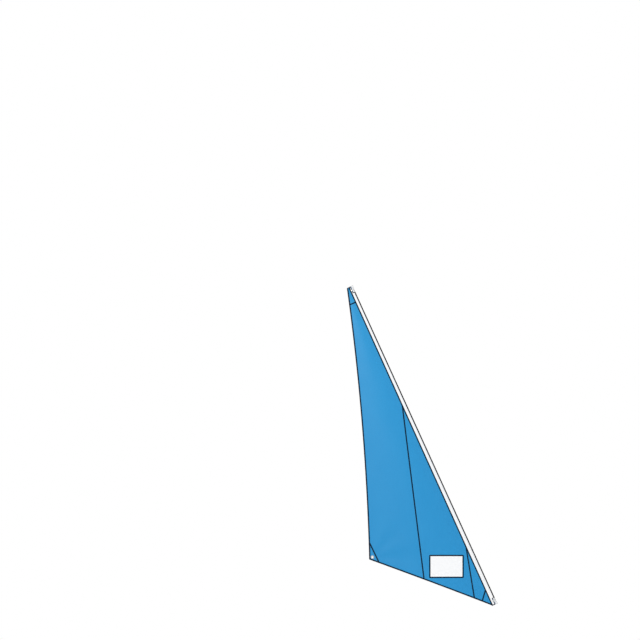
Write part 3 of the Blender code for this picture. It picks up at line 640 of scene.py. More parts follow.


# The first colour of each woven finish is painted shade for the gaps between its threads.
BLUE = woven("blue_sailcloth", (24, 118, 176), ((33, 147, 206), (46, 156, 213)), 0.3,
             deeper=(30, 138, 200))
NAVY = woven("navy_tape", (0, 12, 24), ((0, 27, 46), (2, 42, 68)), 0.06,
             yarn=0.9 * MM, depth=0.16 * MM, shade=0.5)
WHITE = woven("white_sailcloth", (236, 238, 241), ((252, 253, 253), (254, 254, 254)), 0.4,
              shade=0.12)
GREY = woven("grey_webbing", (6, 7, 9), ((17, 18, 21), (34, 36, 40)), 0.08,
             yarn=1.3 * MM, depth=0.25 * MM, shade=0.6)
LABEL = woven("label_cloth", (236, 237, 239), ((249, 249, 250), (254, 254, 254)), 0.5,
              yarn=0.5 * MM, depth=0.03 * MM, crumple=0.3 * MM, shade=0.12)
NAVY_THREAD = navy_thread()
YARN_WHITE = cord_yarn()
WIRE_STEEL = metal("wire_steel", (200, 201, 204), (160, 161, 165), 0.18)
STAINLESS = metal("stainless_steel", (178, 180, 183), (146, 148, 152), 0.2)
NICKEL = metal("nickelled_brass", (206, 203, 196), (170, 166, 158), 0.15)
ALLOY = metal("pressed_alloy", (176, 177, 180), (140, 142, 146), 0.34)


# Mesh helpers

# Degrees from which an edge looks sharp
SHARP_CLOTH = 38
SHARP_METAL = 50
SHARP_ROPE = 60
SHARP_CORD = 70
SHARP_THREAD = 80


def add_object(name, bm, finishes):
    mesh = bpy.data.meshes.new(name)
    bm.to_mesh(mesh)
    bm.free()
    for finish in finishes:
        mesh.materials.append(finish)
    made = bpy.data.objects.new(name, mesh)
    bpy.context.scene.collection.objects.link(made)
    return made


def add_piece(name, bm, body, finishes, nodes=(), sharp=SHARP_CLOTH):
    bmesh.ops.recalc_face_normals(bm, faces=bm.faces)
    made = add_object(name, bm, finishes)
    made.data.shade_smooth()
    made.data.set_sharp_from_angle(angle=radians(sharp))
    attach(made, body)
    if nodes:
        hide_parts(*nodes)
    return made


def join_rings(bm, rings, closed=False):
    """Faces between successive rings of points, with both ends capped unless closed."""
    loops = [[bm.verts.new(p) for p in ring] for ring in rings]
    pairs = list(pairwise(loops))
    if closed:
        pairs.append((loops[-1], loops[0]))
    for ring, following in pairs:
        for k in range(len(ring)):
            m = (k + 1) % len(ring)
            bm.faces.new((ring[k], ring[m], following[m], following[k]))
    if not closed:
        bm.faces.new(loops[0][::-1])
        bm.faces.new(loops[-1])


def circle_round(centre, across, up, radius, sides, start=0.0):
    return [centre + across * (radius * cos(t)) + up * (radius * sin(t))
            for t in stepped(start, start + tau, sides)[:-1]]


# Cutting. The cloth is cut flat, in its side view.

CUT_TOLERANCE = 1e-7
PUNCH_SIDES = 28
# Faces are punched out whose centre is within this share of the radius.
PUNCH_INSIDE = 0.985
# How far from a hole's centre its cuts reach: so many radii, and so much more.
CLOTH_PUNCH = (2.2, 10 * MM)
TAPE_PUNCH = (2.5, 0.0)


def lattice_mesh():
    """The whole sail in its side view, flat, as far down as the luff tape covers its tack."""
    bm = bmesh.new()
    made = [[bm.verts.new(place(*point)) for point in row] for row in ROWS]
    for lower, upper in pairwise(made):
        for k in range(len(lower) - 1):
            bm.faces.new((lower[k], lower[k + 1], upper[k + 1], upper[k]))
    end = END_MARGIN - TAPE_END
    slice_line(bm, ((end, 0), (end, 1)), keep=(end + 1, 0))
    return bm


def slice_line(bm, line, keep=None):
    """Cuts the cloth along a plan line. With keep, all but that plan point's side is dropped."""
    start = place(*line[0])
    normal = place(*turned(unit(*line))).normalized()
    if keep is not None and normal.dot(place(*keep) - start) > 0:
        normal = -normal
    bmesh.ops.bisect_plane(bm, geom=bm.verts[:] + bm.edges[:] + bm.faces[:], plane_co=start,
                           plane_no=normal, dist=CUT_TOLERANCE, clear_outer=keep is not None)


def slice_outline(bm, outline, keep=None):
    for k, point in enumerate(outline):
        slice_line(bm, (outline[k - 1], point), keep)


def punch(bm, centre, across, ring, reach):
    """A round hole for a pressed ring, square to UP_LUFF and across, through all layers."""
    through = UP_LUFF.cross(across).normalized()
    radius = ring["bore"] + ring["barrel"] + GAP
    near = radius * reach[0] + reach[1]
    corners = circle_round(centre, UP_LUFF, across, radius / cos(pi / PUNCH_SIDES), PUNCH_SIDES)
    for k, corner in enumerate(corners):
        normal = (corner - corners[k - 1]).cross(through).normalized()
        faces = [f for f in bm.faces if (f.calc_center_median() - centre).length < near]
        around = {v for f in faces for v in f.verts} | {e for f in faces for e in f.edges}
        bmesh.ops.bisect_plane(bm, geom=[*around, *faces], plane_co=corner, plane_no=normal,
                               dist=CUT_TOLERANCE)
    inside = []
    for face in bm.faces:
        off = face.calc_center_median() - centre
        if (off - through * off.dot(through)).length < radius * PUNCH_INSIDE:
            inside.append(face)
    bmesh.ops.delete(bm, geom=inside, context="FACES")


def drop_loose(bm):
    bmesh.ops.delete(bm, geom=[v for v in bm.verts if not v.link_faces], context="VERTS")
    bm.verts.index_update()


def closed_sheet(faces, rim, top, low):
    """A thin solid between two layers of points. faces and rim are (point numbers, finish)."""
    bm = bmesh.new()
    top, low = [[bm.verts.new(p) for p in layer] for layer in (top, low)]
    for numbers, finish in faces:
        bm.faces.new([top[k] for k in numbers]).material_index = finish
        bm.faces.new([low[k] for k in reversed(numbers)]).material_index = finish
    for (a, b), finish in rim:
        bm.faces.new((top[a], top[b], low[b], low[a])).material_index = finish
    return bm


def cloth_piece(bm, name, low, high, zone, finishes, lift=lambda point: 0.0):
    """Makes the cut surface a thin solid that runs from low to high beside the sail's surface.
    zone gives the number of the finish at a plan point."""
    drop_loose(bm)
    plans = [plan_point(v.co) for v in bm.verts]
    raised = [on_sail(p, lift(p)) for p in plans]
    faces = []
    for face in bm.faces:
        numbers = [v.index for v in face.verts]
        centre = [sum(plans[k][axis] for k in numbers) / len(numbers) for axis in (0, 1)]
        faces.append((numbers, zone(centre)))
    rim = []
    for edge in bm.edges:
        if edge.is_boundary:
            a, b = (v.index for v in edge.verts)
            rim.append(((a, b), zone(between(plans[a], plans[b], 0.5))))
    bm.free()
    solid = closed_sheet(faces, rim, [p + PORT * high for p in raised],
                         [p + PORT * low for p in raised])
    return add_piece(name + "_cloth", solid, "sail", finishes, nodes=[name])


def cut_size(corners):
    """Width across the warp, length along it and area of a flat cut."""
    run = unit(*AFT_LINE)
    across = [crossed(run, p) for p in corners]
    along = [run[0] * p[0] + run[1] * p[1] for p in corners]
    area = abs(sum(crossed(p, q) for p, q in zip(corners, corners[1:] + corners[:1]))) / 2
    return (max(across) - min(across), max(along) - min(along)), area


def under_tape(near, far):
    """Where a line that ends at the luff tape's edge meets the cloth's own edge in the tape."""
    return between(near, far, (CLOTH_INSET - near[1]) / (far[1] - near[1]))


# Panels, patches and label

OUTLINE_STEPS = 8
LABEL_STEPS = 5


def lap_lift(line, way):
    """How far a panel rises (way 1) or sinks (way -1) towards its lap on that side of a line."""
    def lift(point):
        share = (beside(*line, point) * way + SEAM_LAP / 2 + SEAM_RAMP) / SEAM_RAMP
        return LAP_LIFT * min(1, max(0, share)) * way
    return lift


def seam_zone(point):
    """1 where two panels lap, which is a navy band, and 0 elsewhere."""
    return int(any(abs(beside(*line, point)) < SEAM_LAP / 2 for line in SEAM_LINES))


def panel(name, holes, aft_seam=None, fore_seam=None):
    bm = lattice_mesh()
    lifts = []
    for line, way in ((aft_seam, -1), (fore_seam, 1)):
        if line:
            slice_line(bm, shifted(line, way * SEAM_LAP / 2), keep=shifted(line, -way)[0])
            for distance in (SEAM_LAP / 2, SEAM_LAP / 2 + SEAM_RAMP):
                slice_line(bm, shifted(line, -way * distance))
            lifts.append(lap_lift(line, way))
    for spot, ring in holes:
        punch(bm, place(*spot), AFT, ring, CLOTH_PUNCH)
    return cloth_piece(bm, name, -HALF, HALF, seam_zone, [BLUE, NAVY],
                       lift=lambda point: sum(lift(point) for lift in lifts))


def corner_patches(corner, spot, ring):
    """The patches on both faces of a corner, each with a dark hem along its edge."""
    line = PATCH_EDGES[corner]
    made = []
    for side, sign in (("starboard", -1), ("port", 1)):
        bm = lattice_mesh()
        slice_line(bm, line, keep=CORNERS[corner])
        slice_line(bm, shifted(line, PATCH_HEM * PATCH_SIDES[corner]))
        punch(bm, place(*spot), AFT, ring, CLOTH_PUNCH)
        low, high = sorted((sign * (PATCH_LIFT - HALF), sign * PATCH_TOP))
        made.append(cloth_piece(bm, f"{corner}_patch_{side}", low, high,
                                lambda p: int(into_patch(corner, p) < PATCH_HEM - HEM_SPREAD),
                                [BLUE, NAVY]))
    return made


def corner_ring_spot(head):
    """Centre of the eyelet at one end of the luff, in the tape's plane."""
    return on_tape(end_along(corner_ring_along(), head), CORNER_RING_AFT)


def build_cloth():
    tack_hole, head_hole = [(plan_point(corner_ring_spot(head)), CORNER_RING)
                            for _, head in ENDS]
    clew_hole = (CLEW_SPOT, CLEW_RING)
    foot_start = (ROWS[0][0][0], CLOTH_INSET)
    aft_luff, fore_luff = (under_tape(*line) for line in SEAM_LINES)
    aft_foot, fore_foot = AFT_LINE[1], FORE_LINE[1]
    leech = [leech_point(share) for share in stepped(0, 1, OUTLINE_STEPS)]
    head_luff = (HEAD_CORNER[0], CLOTH_INSET)
    panels = (
        (panel("leech_panel", [clew_hole, head_hole], fore_seam=AFT_LINE),
         [aft_luff, aft_foot, *leech, head_luff]),
        (panel("middle_panel", [], aft_seam=AFT_LINE, fore_seam=FORE_LINE),
         [fore_luff, fore_foot, aft_foot, aft_luff]),
        (panel("tack_panel", [tack_hole], aft_seam=FORE_LINE), [foot_start, fore_foot, fore_luff]),
    )
    for made, outline in panels:
        flat, area = cut_size(outline)
    edges = PATCH_EDGES
    head_share = 1 - (HEAD_PATCH + HEM_SPREAD) / dist(CLEW_CORNER, HEAD_CORNER)
    patches = (
        ("tack", tack_hole, [foot_start, edges["tack"][1], under_tape(*edges["tack"])]),
        ("clew", clew_hole, [CLEW_CORNER, *edges["clew"]]),
        ("head", head_hole, [(edges["head"][0][0], CLOTH_INSET), leech_point(head_share),
                             HEAD_CORNER, head_luff]),
    )
    for corner, hole, outline in patches:
        flat, area = cut_size(outline)
        for made in corner_patches(corner, *hole):
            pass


def label_outline(size, radius=0.0):
    """A rectangle round the label's middle, with rounded corners if it has a radius."""
    middle = place(*LABEL_CENTRE)
    points = []
    for quarter, (sx, sz) in enumerate(QUARTERS):
        for bend in stepped(0, pi / 2, LABEL_STEPS) if radius else (0.0,):
            turn = pi / 2 * quarter + bend
            x = sx * (size[0] / 2 - radius) + radius * cos(turn)
            z = sz * (size[1] / 2 - radius) + radius * sin(turn)
            points.append(plan_point(middle + Vector((x, 0, z))))
    return points


def label_patch():
    """The bare label: white, with a dark border along its edge."""
    bm = lattice_mesh()
    inner = [size - 2 * LABEL_BORDER for size in LABEL_SIZE]
    slice_outline(bm, label_outline(LABEL_SIZE, LABEL_CORNER), keep=LABEL_CENTRE)
    slice_outline(bm, label_outline(inner))

    def border(point):
        off = place(*point) - place(*LABEL_CENTRE)
        return int(abs(off.x) > inner[0] / 2 or abs(off.z) > inner[1] / 2)

    near = -HALF - GAP
    made = cloth_piece(bm, "label_patch", near - LABEL_THICKNESS, near, border, [LABEL, NAVY])


# Bindings and tape

FOLD_STEPS = 6
NOSE_STEPS = 16
TAPE_STEP = 9 * MM
LEAF_STEPS = 6


def layer_room(point):
    """Half the room between two leaves that hold the cloth, its seams and its patches."""
    offs = [(LAP_LIFT, abs(beside(*line, point)) - SEAM_LAP / 2 - SEAM_RAMP)
            for line in SEAM_LINES]
    offs += [(PATCH_TOP - HALF, -into_patch(corner, point)) for corner in CORNERS]
    rises = [rise * (1 - eased(off, ROOM_SLACK, ROOM_SLACK + ROOM_RAMP)) for rise, off in offs]
    return HALF + GAP + max(rises)


def fold(outset, bulge, height, skew):
    """A round fold from the port leaf to the starboard leaf, as (outward, out). skew is how
    much of outward counts where the strip isn't square to its rim."""
    bend = [((outset + bulge * sin(t)) / skew, height * cos(t))
            for t in stepped(0, pi, FOLD_STEPS)[1:-1]]
    return [(0.0, height), *bend, (0.0, -height)]


def binding(name, inner, rim):
    """A folded strip round the cloth's edge, with a round fold."""
    rings = []
    for k, (inside, edge) in enumerate(zip(inner, rim)):
        outward = unit(inside, edge)
        middle = between(inside, edge, 0.5)
        skew = abs(crossed(outward, unit(rim[max(k - 1, 0)], rim[min(k + 1, len(rim) - 1)])))
        room = max(layer_room(edge), layer_room(inside))
        top = room + CLOTH
        ring = []
        for out, bend in ((top, fold(GAP, CLOTH, top, skew)),
                          (-room, fold(0, GAP, room, skew)[::-1])):
            ring += [on_sail(inside, out), on_sail(middle, out)]
            ring += [on_sail(edge, height) + place(outward[0] * reach, outward[1] * reach)
                     for reach, height in bend]
            ring += [on_sail(middle, -out), on_sail(inside, -out)]
        rings.append(ring)
    bm = bmesh.new()
    join_rings(bm, rings)
    made = add_piece(name + "_cloth", bm, "sail", [NAVY], nodes=[name])


def build_bindings():
    binding("leech_binding", LEECH_INNER[::-1], LEECH_RIM[::-1])
    share = BUTT_GAP / dist(FOOT_RIM[0], FOOT_RIM[1])
    inner, rim = [[between(line[0], line[1], share), *line[1:-1],
                   between(line[-1], line[-2], share)] for line in (FOOT_INNER, FOOT_RIM)]
    binding("foot_binding", inner, rim)


def tape_profile(along):
    """Middle of the folded tape in cross-section, as (aft, out), from the starboard leaf's edge
    round the nose to the port leaf's edge."""
    aft_edge = tape_edge(along) / ENTRY_COSINE
    hem = aft_edge - TAPE_HEM / ENTRY_COSINE
    radius = TAPE_NOSE + HALF
    nose_out = PATCH_TOP + GAP + HALF
    band_edge = NOSE_BAND - TAPE_NOSE
    port = [(aft, mix(radius, nose_out, aft / TAPE_FLAT))
            for aft in (band_edge, mix(band_edge, TAPE_FLAT, 0.5))]
    for aft in (*stepped(TAPE_FLAT, hem, LEAF_STEPS), mix(hem, aft_edge, 0.5), aft_edge):
        close = layer_room((along, aft * ENTRY_COSINE)) + HALF
        closing = eased(aft, TAPE_FLAT, TAPE_FLAT + TAPE_CLOSING)
        port.append((aft, mix(nose_out, close, closing)))
    reach = radius + NOSE_WAVE * noise.noise(Vector((along * NOSE_WAVES, 0, 0)))
    nose = [(-reach * sin(t), radius * cos(t)) for t in stepped(pi, 0, NOSE_STEPS)]
    return [(aft, -out) for aft, out in port[::-1]] + nose + port


def tape_surface():
    """The tape folded round the wire, with its nose cut away round the two eyes. Its finishes
    are the white cloth, the dark hem (1) and the band along the nose and the cuts (2)."""
    low, high = -TAPE_END, WIRE_SPAN + TAPE_END
    first, last = SLEEVE_START, WIRE_SPAN - SLEEVE_START
    ends = (low, low + TAPE_ENDS, first, first + CUT_BAND,
            last - CUT_BAND, last, high - TAPE_ENDS, high)
    stations = [along for a, b in pairwise(ends)
                for along in stepped(a, b, ceil((b - a) / TAPE_STEP))[:-1]] + [high]
    profiles = [tape_profile(along) for along in stations]
    bm = bmesh.new()
    grid = [[bm.verts.new(on_tape(along, *point)) for point in profile]
            for along, profile in zip(stations, profiles)]
    for k, profile in enumerate(profiles[:-1]):
        middle = (stations[k] + stations[k + 1]) / 2
        hem = tape_edge(middle) / ENTRY_COSINE - TAPE_HEM
        at_end = not low + TAPE_ENDS <= middle <= high - TAPE_ENDS
        beside_cut = not first + CUT_BAND < middle < last - CUT_BAND
        for m in range(len(profile) - 1):
            aft = (profile[m][0] + profile[m + 1][0]) / 2
            if aft < CLOTH_INSET / ENTRY_COSINE and not first < middle < last:
                continue
            face = bm.faces.new((grid[k][m], grid[k][m + 1], grid[k + 1][m + 1], grid[k + 1][m]))
            if at_end or aft > hem:
                face.material_index = 1
            elif aft < NOSE_BAND - TAPE_NOSE or beside_cut and aft < TAPE_FLAT + CUT_BAND:
                face.material_index = 2
    return bm


def luff_tape():
    bm = tape_surface()
    for _, head in ENDS:
        punch(bm, corner_ring_spot(head), AFT_TAPE, CORNER_RING, TAPE_PUNCH)
    drop_loose(bm)
    bmesh.ops.recalc_face_normals(bm, faces=bm.faces)
    bm.normal_update()
    faces = [([v.index for v in face.verts], face.material_index) for face in bm.faces]
    rim = [([v.index for v in edge.verts], edge.link_faces[0].material_index)
           for edge in bm.edges if edge.is_boundary]
    top, low = [[v.co + v.normal * out for v in bm.verts] for out in (HALF, -HALF)]
    bm.free()
    tape = add_piece("luff_tape_cloth", closed_sheet(faces, rim, top, low), "sail",
                     [WHITE, NAVY, GREY], nodes=["luff_tape"])
    profile = tape_profile(WIRE_SPAN / 2)


# Paths


def resampled(path, step):
    """Points along a path, step(distance, whole) apart, and their distances."""
    lengths = [0.0]
    for a, b in pairwise(path):
        lengths.append(lengths[-1] + (b - a).length)
    distances = [0.0]
    while distances[-1] < lengths[-1]:
        distances.append(distances[-1] + step(distances[-1], lengths[-1]))
    distances[-1] = lengths[-1]
    points = []
    k = 0
    for distance in distances:
        while k < len(path) - 2 and lengths[k + 1] < distance:
            k += 1
        share = (distance - lengths[k]) / (lengths[k + 1] - lengths[k])
        points.append(path[k].lerp(path[k + 1], share))
    return points, distances


def smoothed(points, rounds=2):
    for _ in range(rounds):
        inner = [(a + b * 2 + c) / 4 for a, b, c in zip(points, points[1:], points[2:])]
        points = [points[0], *inner, points[-1]]
    return points


def runs(points):
    """The direction of a path at each of its points."""
    ends = zip([points[0], *points], [*points[1:], points[-1]])
    return [(after - before).normalized() for before, after in ends]


# Luff wire and its eyes

CROWN_STEPS = 40
JOG_STEPS = 16
STRANDS = 6
STRAND_SIDES = 6
STRAND = WIRE / 6
STRAND_SWELL = 1.02
WIRE_LAY = 26 * MM
FINE_WIRE = 190 * MM
FINE_STEP = 1.6 * MM
COARSE_STEP = 3.6 * MM
THIMBLE_STEP = 0.9 * MM
GROOVE_STEPS = 12
LIP_STEPS = 6
LIP_BULGE = 0.6
ROUND_STEPS = 4


def eye_path():
    """The wire's middle from one neck round the eye to the other, as (along, aft)."""
    reach = hypot(NECK_START, PAIR)
    splay = asin(CROWN / reach) - atan(PAIR / NECK_START)
    round_eye = [(CROWN * sin(turn), CROWN * cos(turn))
                 for turn in stepped(splay, -pi - splay, CROWN_STEPS)]
    return [(NECK_START, PAIR), *round_eye, (NECK_START, -PAIR)]


def wire_end(head):
    """The wire from its tail round the eye and over to the luff's own line."""
    jog = [(WIRE_END + WIRE_JOG * share, -PAIR * (1 - eased(share, 0, 1)))
           for share in stepped(0, 1, JOG_STEPS)]
    return [place(end_along(along, head), aft)
            for along, aft in ((WIRE_END, PAIR), *eye_path(), *jog)]


def wire_step(distance, whole):
    return FINE_STEP if min(distance, whole - distance) < FINE_WIRE else COARSE_STEP


def luff_wire():
    """Stainless rope: six strands laid round a core, along the luff and round both eyes."""
    points, distances = resampled(wire_end(False) + wire_end(True)[::-1], wire_step)
    points = smoothed(points)
    bm = bmesh.new()
    for index in range(STRANDS + 1):
        offset = 0 if index == STRANDS else 2 * STRAND
        rings = []
        for spot, run, distance in zip(points, runs(points), distances):
            across = PORT.cross(run).normalized()
            turn = tau * (index / STRANDS + distance / WIRE_LAY)
            centre = spot + (across * cos(turn) + PORT * sin(turn)) * offset
            rings.append(circle_round(centre, across, PORT, STRAND * STRAND_SWELL, STRAND_SIDES,
                                      turn))
        join_rings(bm, rings)
    add_piece("luff_wire_rope", bm, "wire", [WIRE_STEEL], nodes=["luff_wire"],
              sharp=SHARP_ROPE)


def thimble_section():
    """The channel in cross-section, as (inward, sideways)."""
    cheek, base = GROOVE + THIMBLE_LIP, GROOVE + THIMBLE_WALL
    groove = [(GROOVE * sin(t), -GROOVE * cos(t)) for t in stepped(0, pi, GROOVE_STEPS)]
    lip = THIMBLE_LIP / 2
    roll = [(-lip * LIP_BULGE * sin(t), -lip * cos(t)) for t in stepped(0, pi, LIP_STEPS)[1:-1]]
    far_lip, near_lip = [[(i, s + side * (GROOVE + lip)) for i, s in roll] for side in (1, -1)]
    r = THIMBLE_ROUND
    bends = [(base - r + r * sin(t), cheek - r + r * cos(t))
             for t in stepped(0, pi / 2, ROUND_STEPS)]
    back = bends + [(inward, -sideways) for inward, sideways in bends[::-1]]
    return [*groove, *far_lip, (0, cheek), *back, (0, -cheek), *near_lip]


def thimble(corner, head):
    """A formed channel round the eye, with rolled lips."""
    path = eye_path()
    for end, neighbour in ((0, 1), (-1, -2)):
        high, low = path[end], path[neighbour]
        path[end] = between(low, high, (THIMBLE_END - low[0]) / (high[0] - low[0]))
    spots = [place(end_along(along, head), aft) for along, aft in path]
    points = smoothed(resampled(spots, lambda *_: THIMBLE_STEP)[0])
    middle = len(points) // 2
    to_eye = place(end_along(0, head), 0) - points[middle]
    side = PORT if PORT.cross(points[middle + 1] - points[middle - 1]).dot(to_eye) > 0 else -PORT
    rings = []
    for spot, run in zip(points, runs(points)):
        inward = side.cross(run).normalized()
        rings.append([spot + inward * i + side * s for i, s in thimble_section()])
    bm = bmesh.new()
    join_rings(bm, rings)
    add_piece(f"{corner}_thimble_formed", bm, "wire", [STAINLESS],
              nodes=[f"{corner}_thimble"], sharp=SHARP_METAL)


FERRULE_BITES = 4
BITE_DEPTH = 0.22 * MM
FERRULE_RINGS = 40
STADIUM_STEPS = 14


def ferrule(corner, head):
    """The pressed sleeve, with the ridges that the press's dies leave."""
    rings = [(FERRULE_START, GROOVE)]
    for share in stepped(0, 1, FERRULE_RINGS):
        distance = share * FERRULE_LENGTH
        edge = min(1, min(distance, FERRULE_LENGTH - distance) / FERRULE_CHAMFER)
        drop = FERRULE_CHAMFER * (1 - sqrt(max(0, 1 - (1 - edge) ** 2)))
        bite = BITE_DEPTH * (0.5 - 0.5 * cos(tau * FERRULE_BITES * share)) ** 2
        rings.append((FERRULE_START + distance, GROOVE + FERRULE_WALL - drop - bite))
    rings.append((FERRULE_END, GROOVE))
    stadium = [(side, turn - side * pi / 2)
               for side in (1, -1) for turn in stepped(0, pi, STADIUM_STEPS)]
    loops = [[place(end_along(along, head), side * PAIR + radius * cos(turn), radius * sin(turn))
              for side, turn in stadium] for along, radius in rings]
    bm = bmesh.new()
    join_rings(bm, loops, closed=True)
    add_piece(f"{corner}_ferrule_pressed", bm, "wire", [ALLOY],
              nodes=[f"{corner}_ferrule"], sharp=SHARP_METAL)


# Pressed rings. The shares are those of a ring's own sizes.

RING_TURNS = 72
RING_SOFT = 0.5 * MM
CURL_SOFT = 0.7 * RING_SOFT
CURL_START = 0.8
FLANGE_POINT = 0.45
FLANGE_ROLL = 0.62
WASHER_SOFT = 0.45
WASHER_FOOT = 0.4


def arc(centre, radius, start, end, steps=5):
    return [(centre[0] + radius * cos(t), centre[1] + radius * sin(t))
            for t in stepped(start, end, steps)]


def ring_profiles(size, stack):
    """Eyelet and washer in cross-section, as (radius, height), round a stack of cloth that
    reaches this far to either side."""
    bore, outer, barrel = size["bore"], size["outer"], size["bore"] + size["barrel"]
    seat = stack + GAP
    face = seat + size["flange"]
    washer_top = seat + size["washer"]
    lock = washer_top + GAP
    top = lock + size["curl"]
    curl = barrel + size["reach"]
    roll = size["flange"] * FLANGE_ROLL
    right = pi / 2
    eyelet = [*arc((bore + RING_SOFT, -face + RING_SOFT), RING_SOFT, 2 * right, 3 * right),
              (mix(bore, outer, FLANGE_POINT), -face),
              *arc((outer - roll, -face + roll), roll, 3 * right, 4 * right, steps=7),
              (outer, -seat), (barrel, -seat), (barrel, lock), (curl - RING_SOFT / 2, lock),
              *arc((curl - CURL_SOFT, lock + CURL_SOFT), CURL_SOFT, -right * CURL_START, right,
                   steps=6),
              *arc((bore + RING_SOFT, top - RING_SOFT), RING_SOFT, right, 2 * right)]
    soft = size["washer"] * WASHER_SOFT
    washer = [(barrel + GAP, seat), (outer - soft * WASHER_FOOT, seat),
              *arc((outer - soft, washer_top - soft), soft, 0, right), (barrel + GAP, washer_top)]
    return eyelet, washer


def eyelet(corner, size, centre, axis, stack):
    across = axis.orthogonal().normalized()
    up = axis.cross(across)
    names = (("eyelet", "eyelet"), ("washer", "eyelet_washer"))
    for (name, node), profile in zip(names, ring_profiles(size, stack)):
        rings = []
        for turn in stepped(0, tau, RING_TURNS)[:-1]:
            outward = across * cos(turn) + up * sin(turn)
            rings.append([centre + outward * r + axis * h for r, h in profile])
        bm = bmesh.new()
        join_rings(bm, rings, closed=True)
        add_piece(f"{corner}_{name}_pressed", bm, "sail", [NICKEL],
                  nodes=[f"{corner}_{node}"], sharp=SHARP_METAL)


def clew_ring_spot():
    """The clew ring's centre and its axis, square to the smooth cloth there."""
    step = CLEW_RING["outer"]
    corners = [CLEW_SPOT, onward(CLEW_SPOT, (1, 0), step), onward(CLEW_SPOT, (0, -1), step)]
    a, b, c = (place(*p, smooth_height(*p)) for p in corners)
    axis = (b - a).cross(c - a).normalized()
    return a, axis if axis.dot(PORT) > 0 else -axis


# Seizings

SEIZING_STEPS = 60
SEIZING_RADIUS = (max(height for _, height in ring_profiles(CORNER_RING, TAPE_TOP)[0])
                  + GAP + SEIZING_CORD / 2)
BEND = pi * SEIZING_RADIUS
BEND_FORE = SEIZING_RADIUS - SEIZING_CORD / 2 - GAP - NECK_REACH
BEND_AFT = CORNER_RING_AFT + SEIZING_IN_BORE - SEIZING_RADIUS
# One turn: ahead on the port face, round the neck, aft on the starboard face, through the eyelet
# and on to where it began
AHEAD, RUN, BACK = SEIZING_END_AFT - BEND_FORE, BEND_AFT - BEND_FORE, BEND_AFT - SEIZING_END_AFT
TURN_LENGTH = AHEAD + 2 * BEND + RUN + BACK
BRAID_STRANDS = 8
BRAID_PITCH = 7 * MM
BRAID_STEP = 0.45 * MM
BRAID_THICK = 0.36
BRAID_RISE = 0.12
BRAID_FLAT = 0.75
BRAID_SIDES = 5
CORE_SHARE = 0.62
CORE_SIDES = 8
CORE_EVERY = 3
MELT_STEPS = 10
MELT_SIDES = 14
MELT_BULGE = 1.22
MELT_LENGTH = 1.9 * MM
MELT_FACE = 0.4


def corner_ring_along():
    passes = (AHEAD + BEND + RUN + BEND / 2) / TURN_LENGTH
    return SEIZING_START + SEIZING_PITCH * (passes + (SEIZING_TURNS - 1) / 2)


def turn_point(distance):
    """(aft, out) at a distance along one turn. Each straight run but the last ends in a bend."""
    distance %= TURN_LENGTH
    stops = (SEIZING_END_AFT, BEND_FORE, BEND_AFT, SEIZING_END_AFT)
    for start, end, side in zip(stops, stops[1:], (1, -1, 1)):
        out = side * SEIZING_RADIUS
        if distance < abs(end - start):
            return (start - side * distance, out)
        distance -= abs(end - start)
        if distance < BEND:
            turn = distance / SEIZING_RADIUS
            return (end - out * sin(turn), out * cos(turn))
        distance -= BEND


def braided(bm, points, radius):
    """A plaited cord: half the strands wind one way and half the other, over and under."""
    points, distances = resampled(points, lambda *_: BRAID_STEP)
    points = smoothed(points)
    up = (points[1] - points[0]).normalized().orthogonal()
    frames = []
    for spot, run in zip(points, runs(points)):
        up = (up - run * up.dot(run)).normalized()
        frames.append((spot, run, up, run.cross(up)))
    join_rings(bm, [circle_round(spot, up, side, radius * CORE_SHARE, CORE_SIDES)
                    for spot, _, up, side in frames[::CORE_EVERY]])
    half = BRAID_STRANDS // 2
    thick, rise = radius * BRAID_THICK, radius * BRAID_RISE
    for index in range(BRAID_STRANDS):
        way = 1 if index < half else -1
        rings = []
        for (spot, run, up, side), distance in zip(frames, distances):
            wound = tau * distance / BRAID_PITCH
            turn = way * wound + tau * (index % half) / half
            over = way * cos(half * wound)
            outward = up * cos(turn) + side * sin(turn)
            centre = spot + outward * (radius - thick - rise + rise * over)
            rings.append(circle_round(centre, outward * BRAID_FLAT, run.cross(outward), thick,
                                      BRAID_SIDES))
        join_rings(bm, rings)


def melted_end(bm, spot, inward):
    """The bead to which a cut end was melted, so that it doesn't fray."""
    up = inward.orthogonal().normalized()
    side = inward.cross(up)
    rings = []
    for k in range(MELT_STEPS + 1):
        turn = pi * (k + MELT_FACE) / (MELT_STEPS + 2 * MELT_FACE)
        radius = SEIZING_CORD / 2 * MELT_BULGE * sin(turn)
        centre = spot + inward * (MELT_LENGTH / 2 * (1 - cos(turn)))
        rings.append(circle_round(centre, up, side, radius, MELT_SIDES))
    join_rings(bm, rings)


def seizing(corner, head):
    path = []
    for turns in stepped(0, SEIZING_TURNS, SEIZING_STEPS * SEIZING_TURNS):
        along = SEIZING_START + SEIZING_PITCH * turns
        path.append(on_tape(end_along(along, head), *turn_point(turns * TURN_LENGTH)))
    bm = bmesh.new()
    braided(bm, path, SEIZING_CORD / 2)
    for spot, inner in ((path[0], path[1]), (path[-1], path[-2])):
        melted_end(bm, spot, (inner - spot).normalized())
    add_piece(f"{corner}_seizing_cord", bm, "sail", [YARN_WHITE],
              nodes=[f"{corner}_seizing"], sharp=SHARP_CORD)


# Stitching


def walked(line):
    """An even number of places about a stitch apart along a plan line, with its run at each."""
    lengths = [dist(p, q) for p, q in pairwise(line)]
    count = round(sum(lengths) / STITCH_STEP / 2) * 2
    step = sum(lengths) / count
    made = []
    reached = 0.0
    for p, q, length in zip(line, line[1:], lengths):
        while len(made) <= count and len(made) * step <= reached + length + ROUNDING:
            made.append((between(p, q, (len(made) * step - reached) / length), unit(p, q)))
        reached += length
    return made[:-1] + made[:1] if line[0] == line[-1] else made


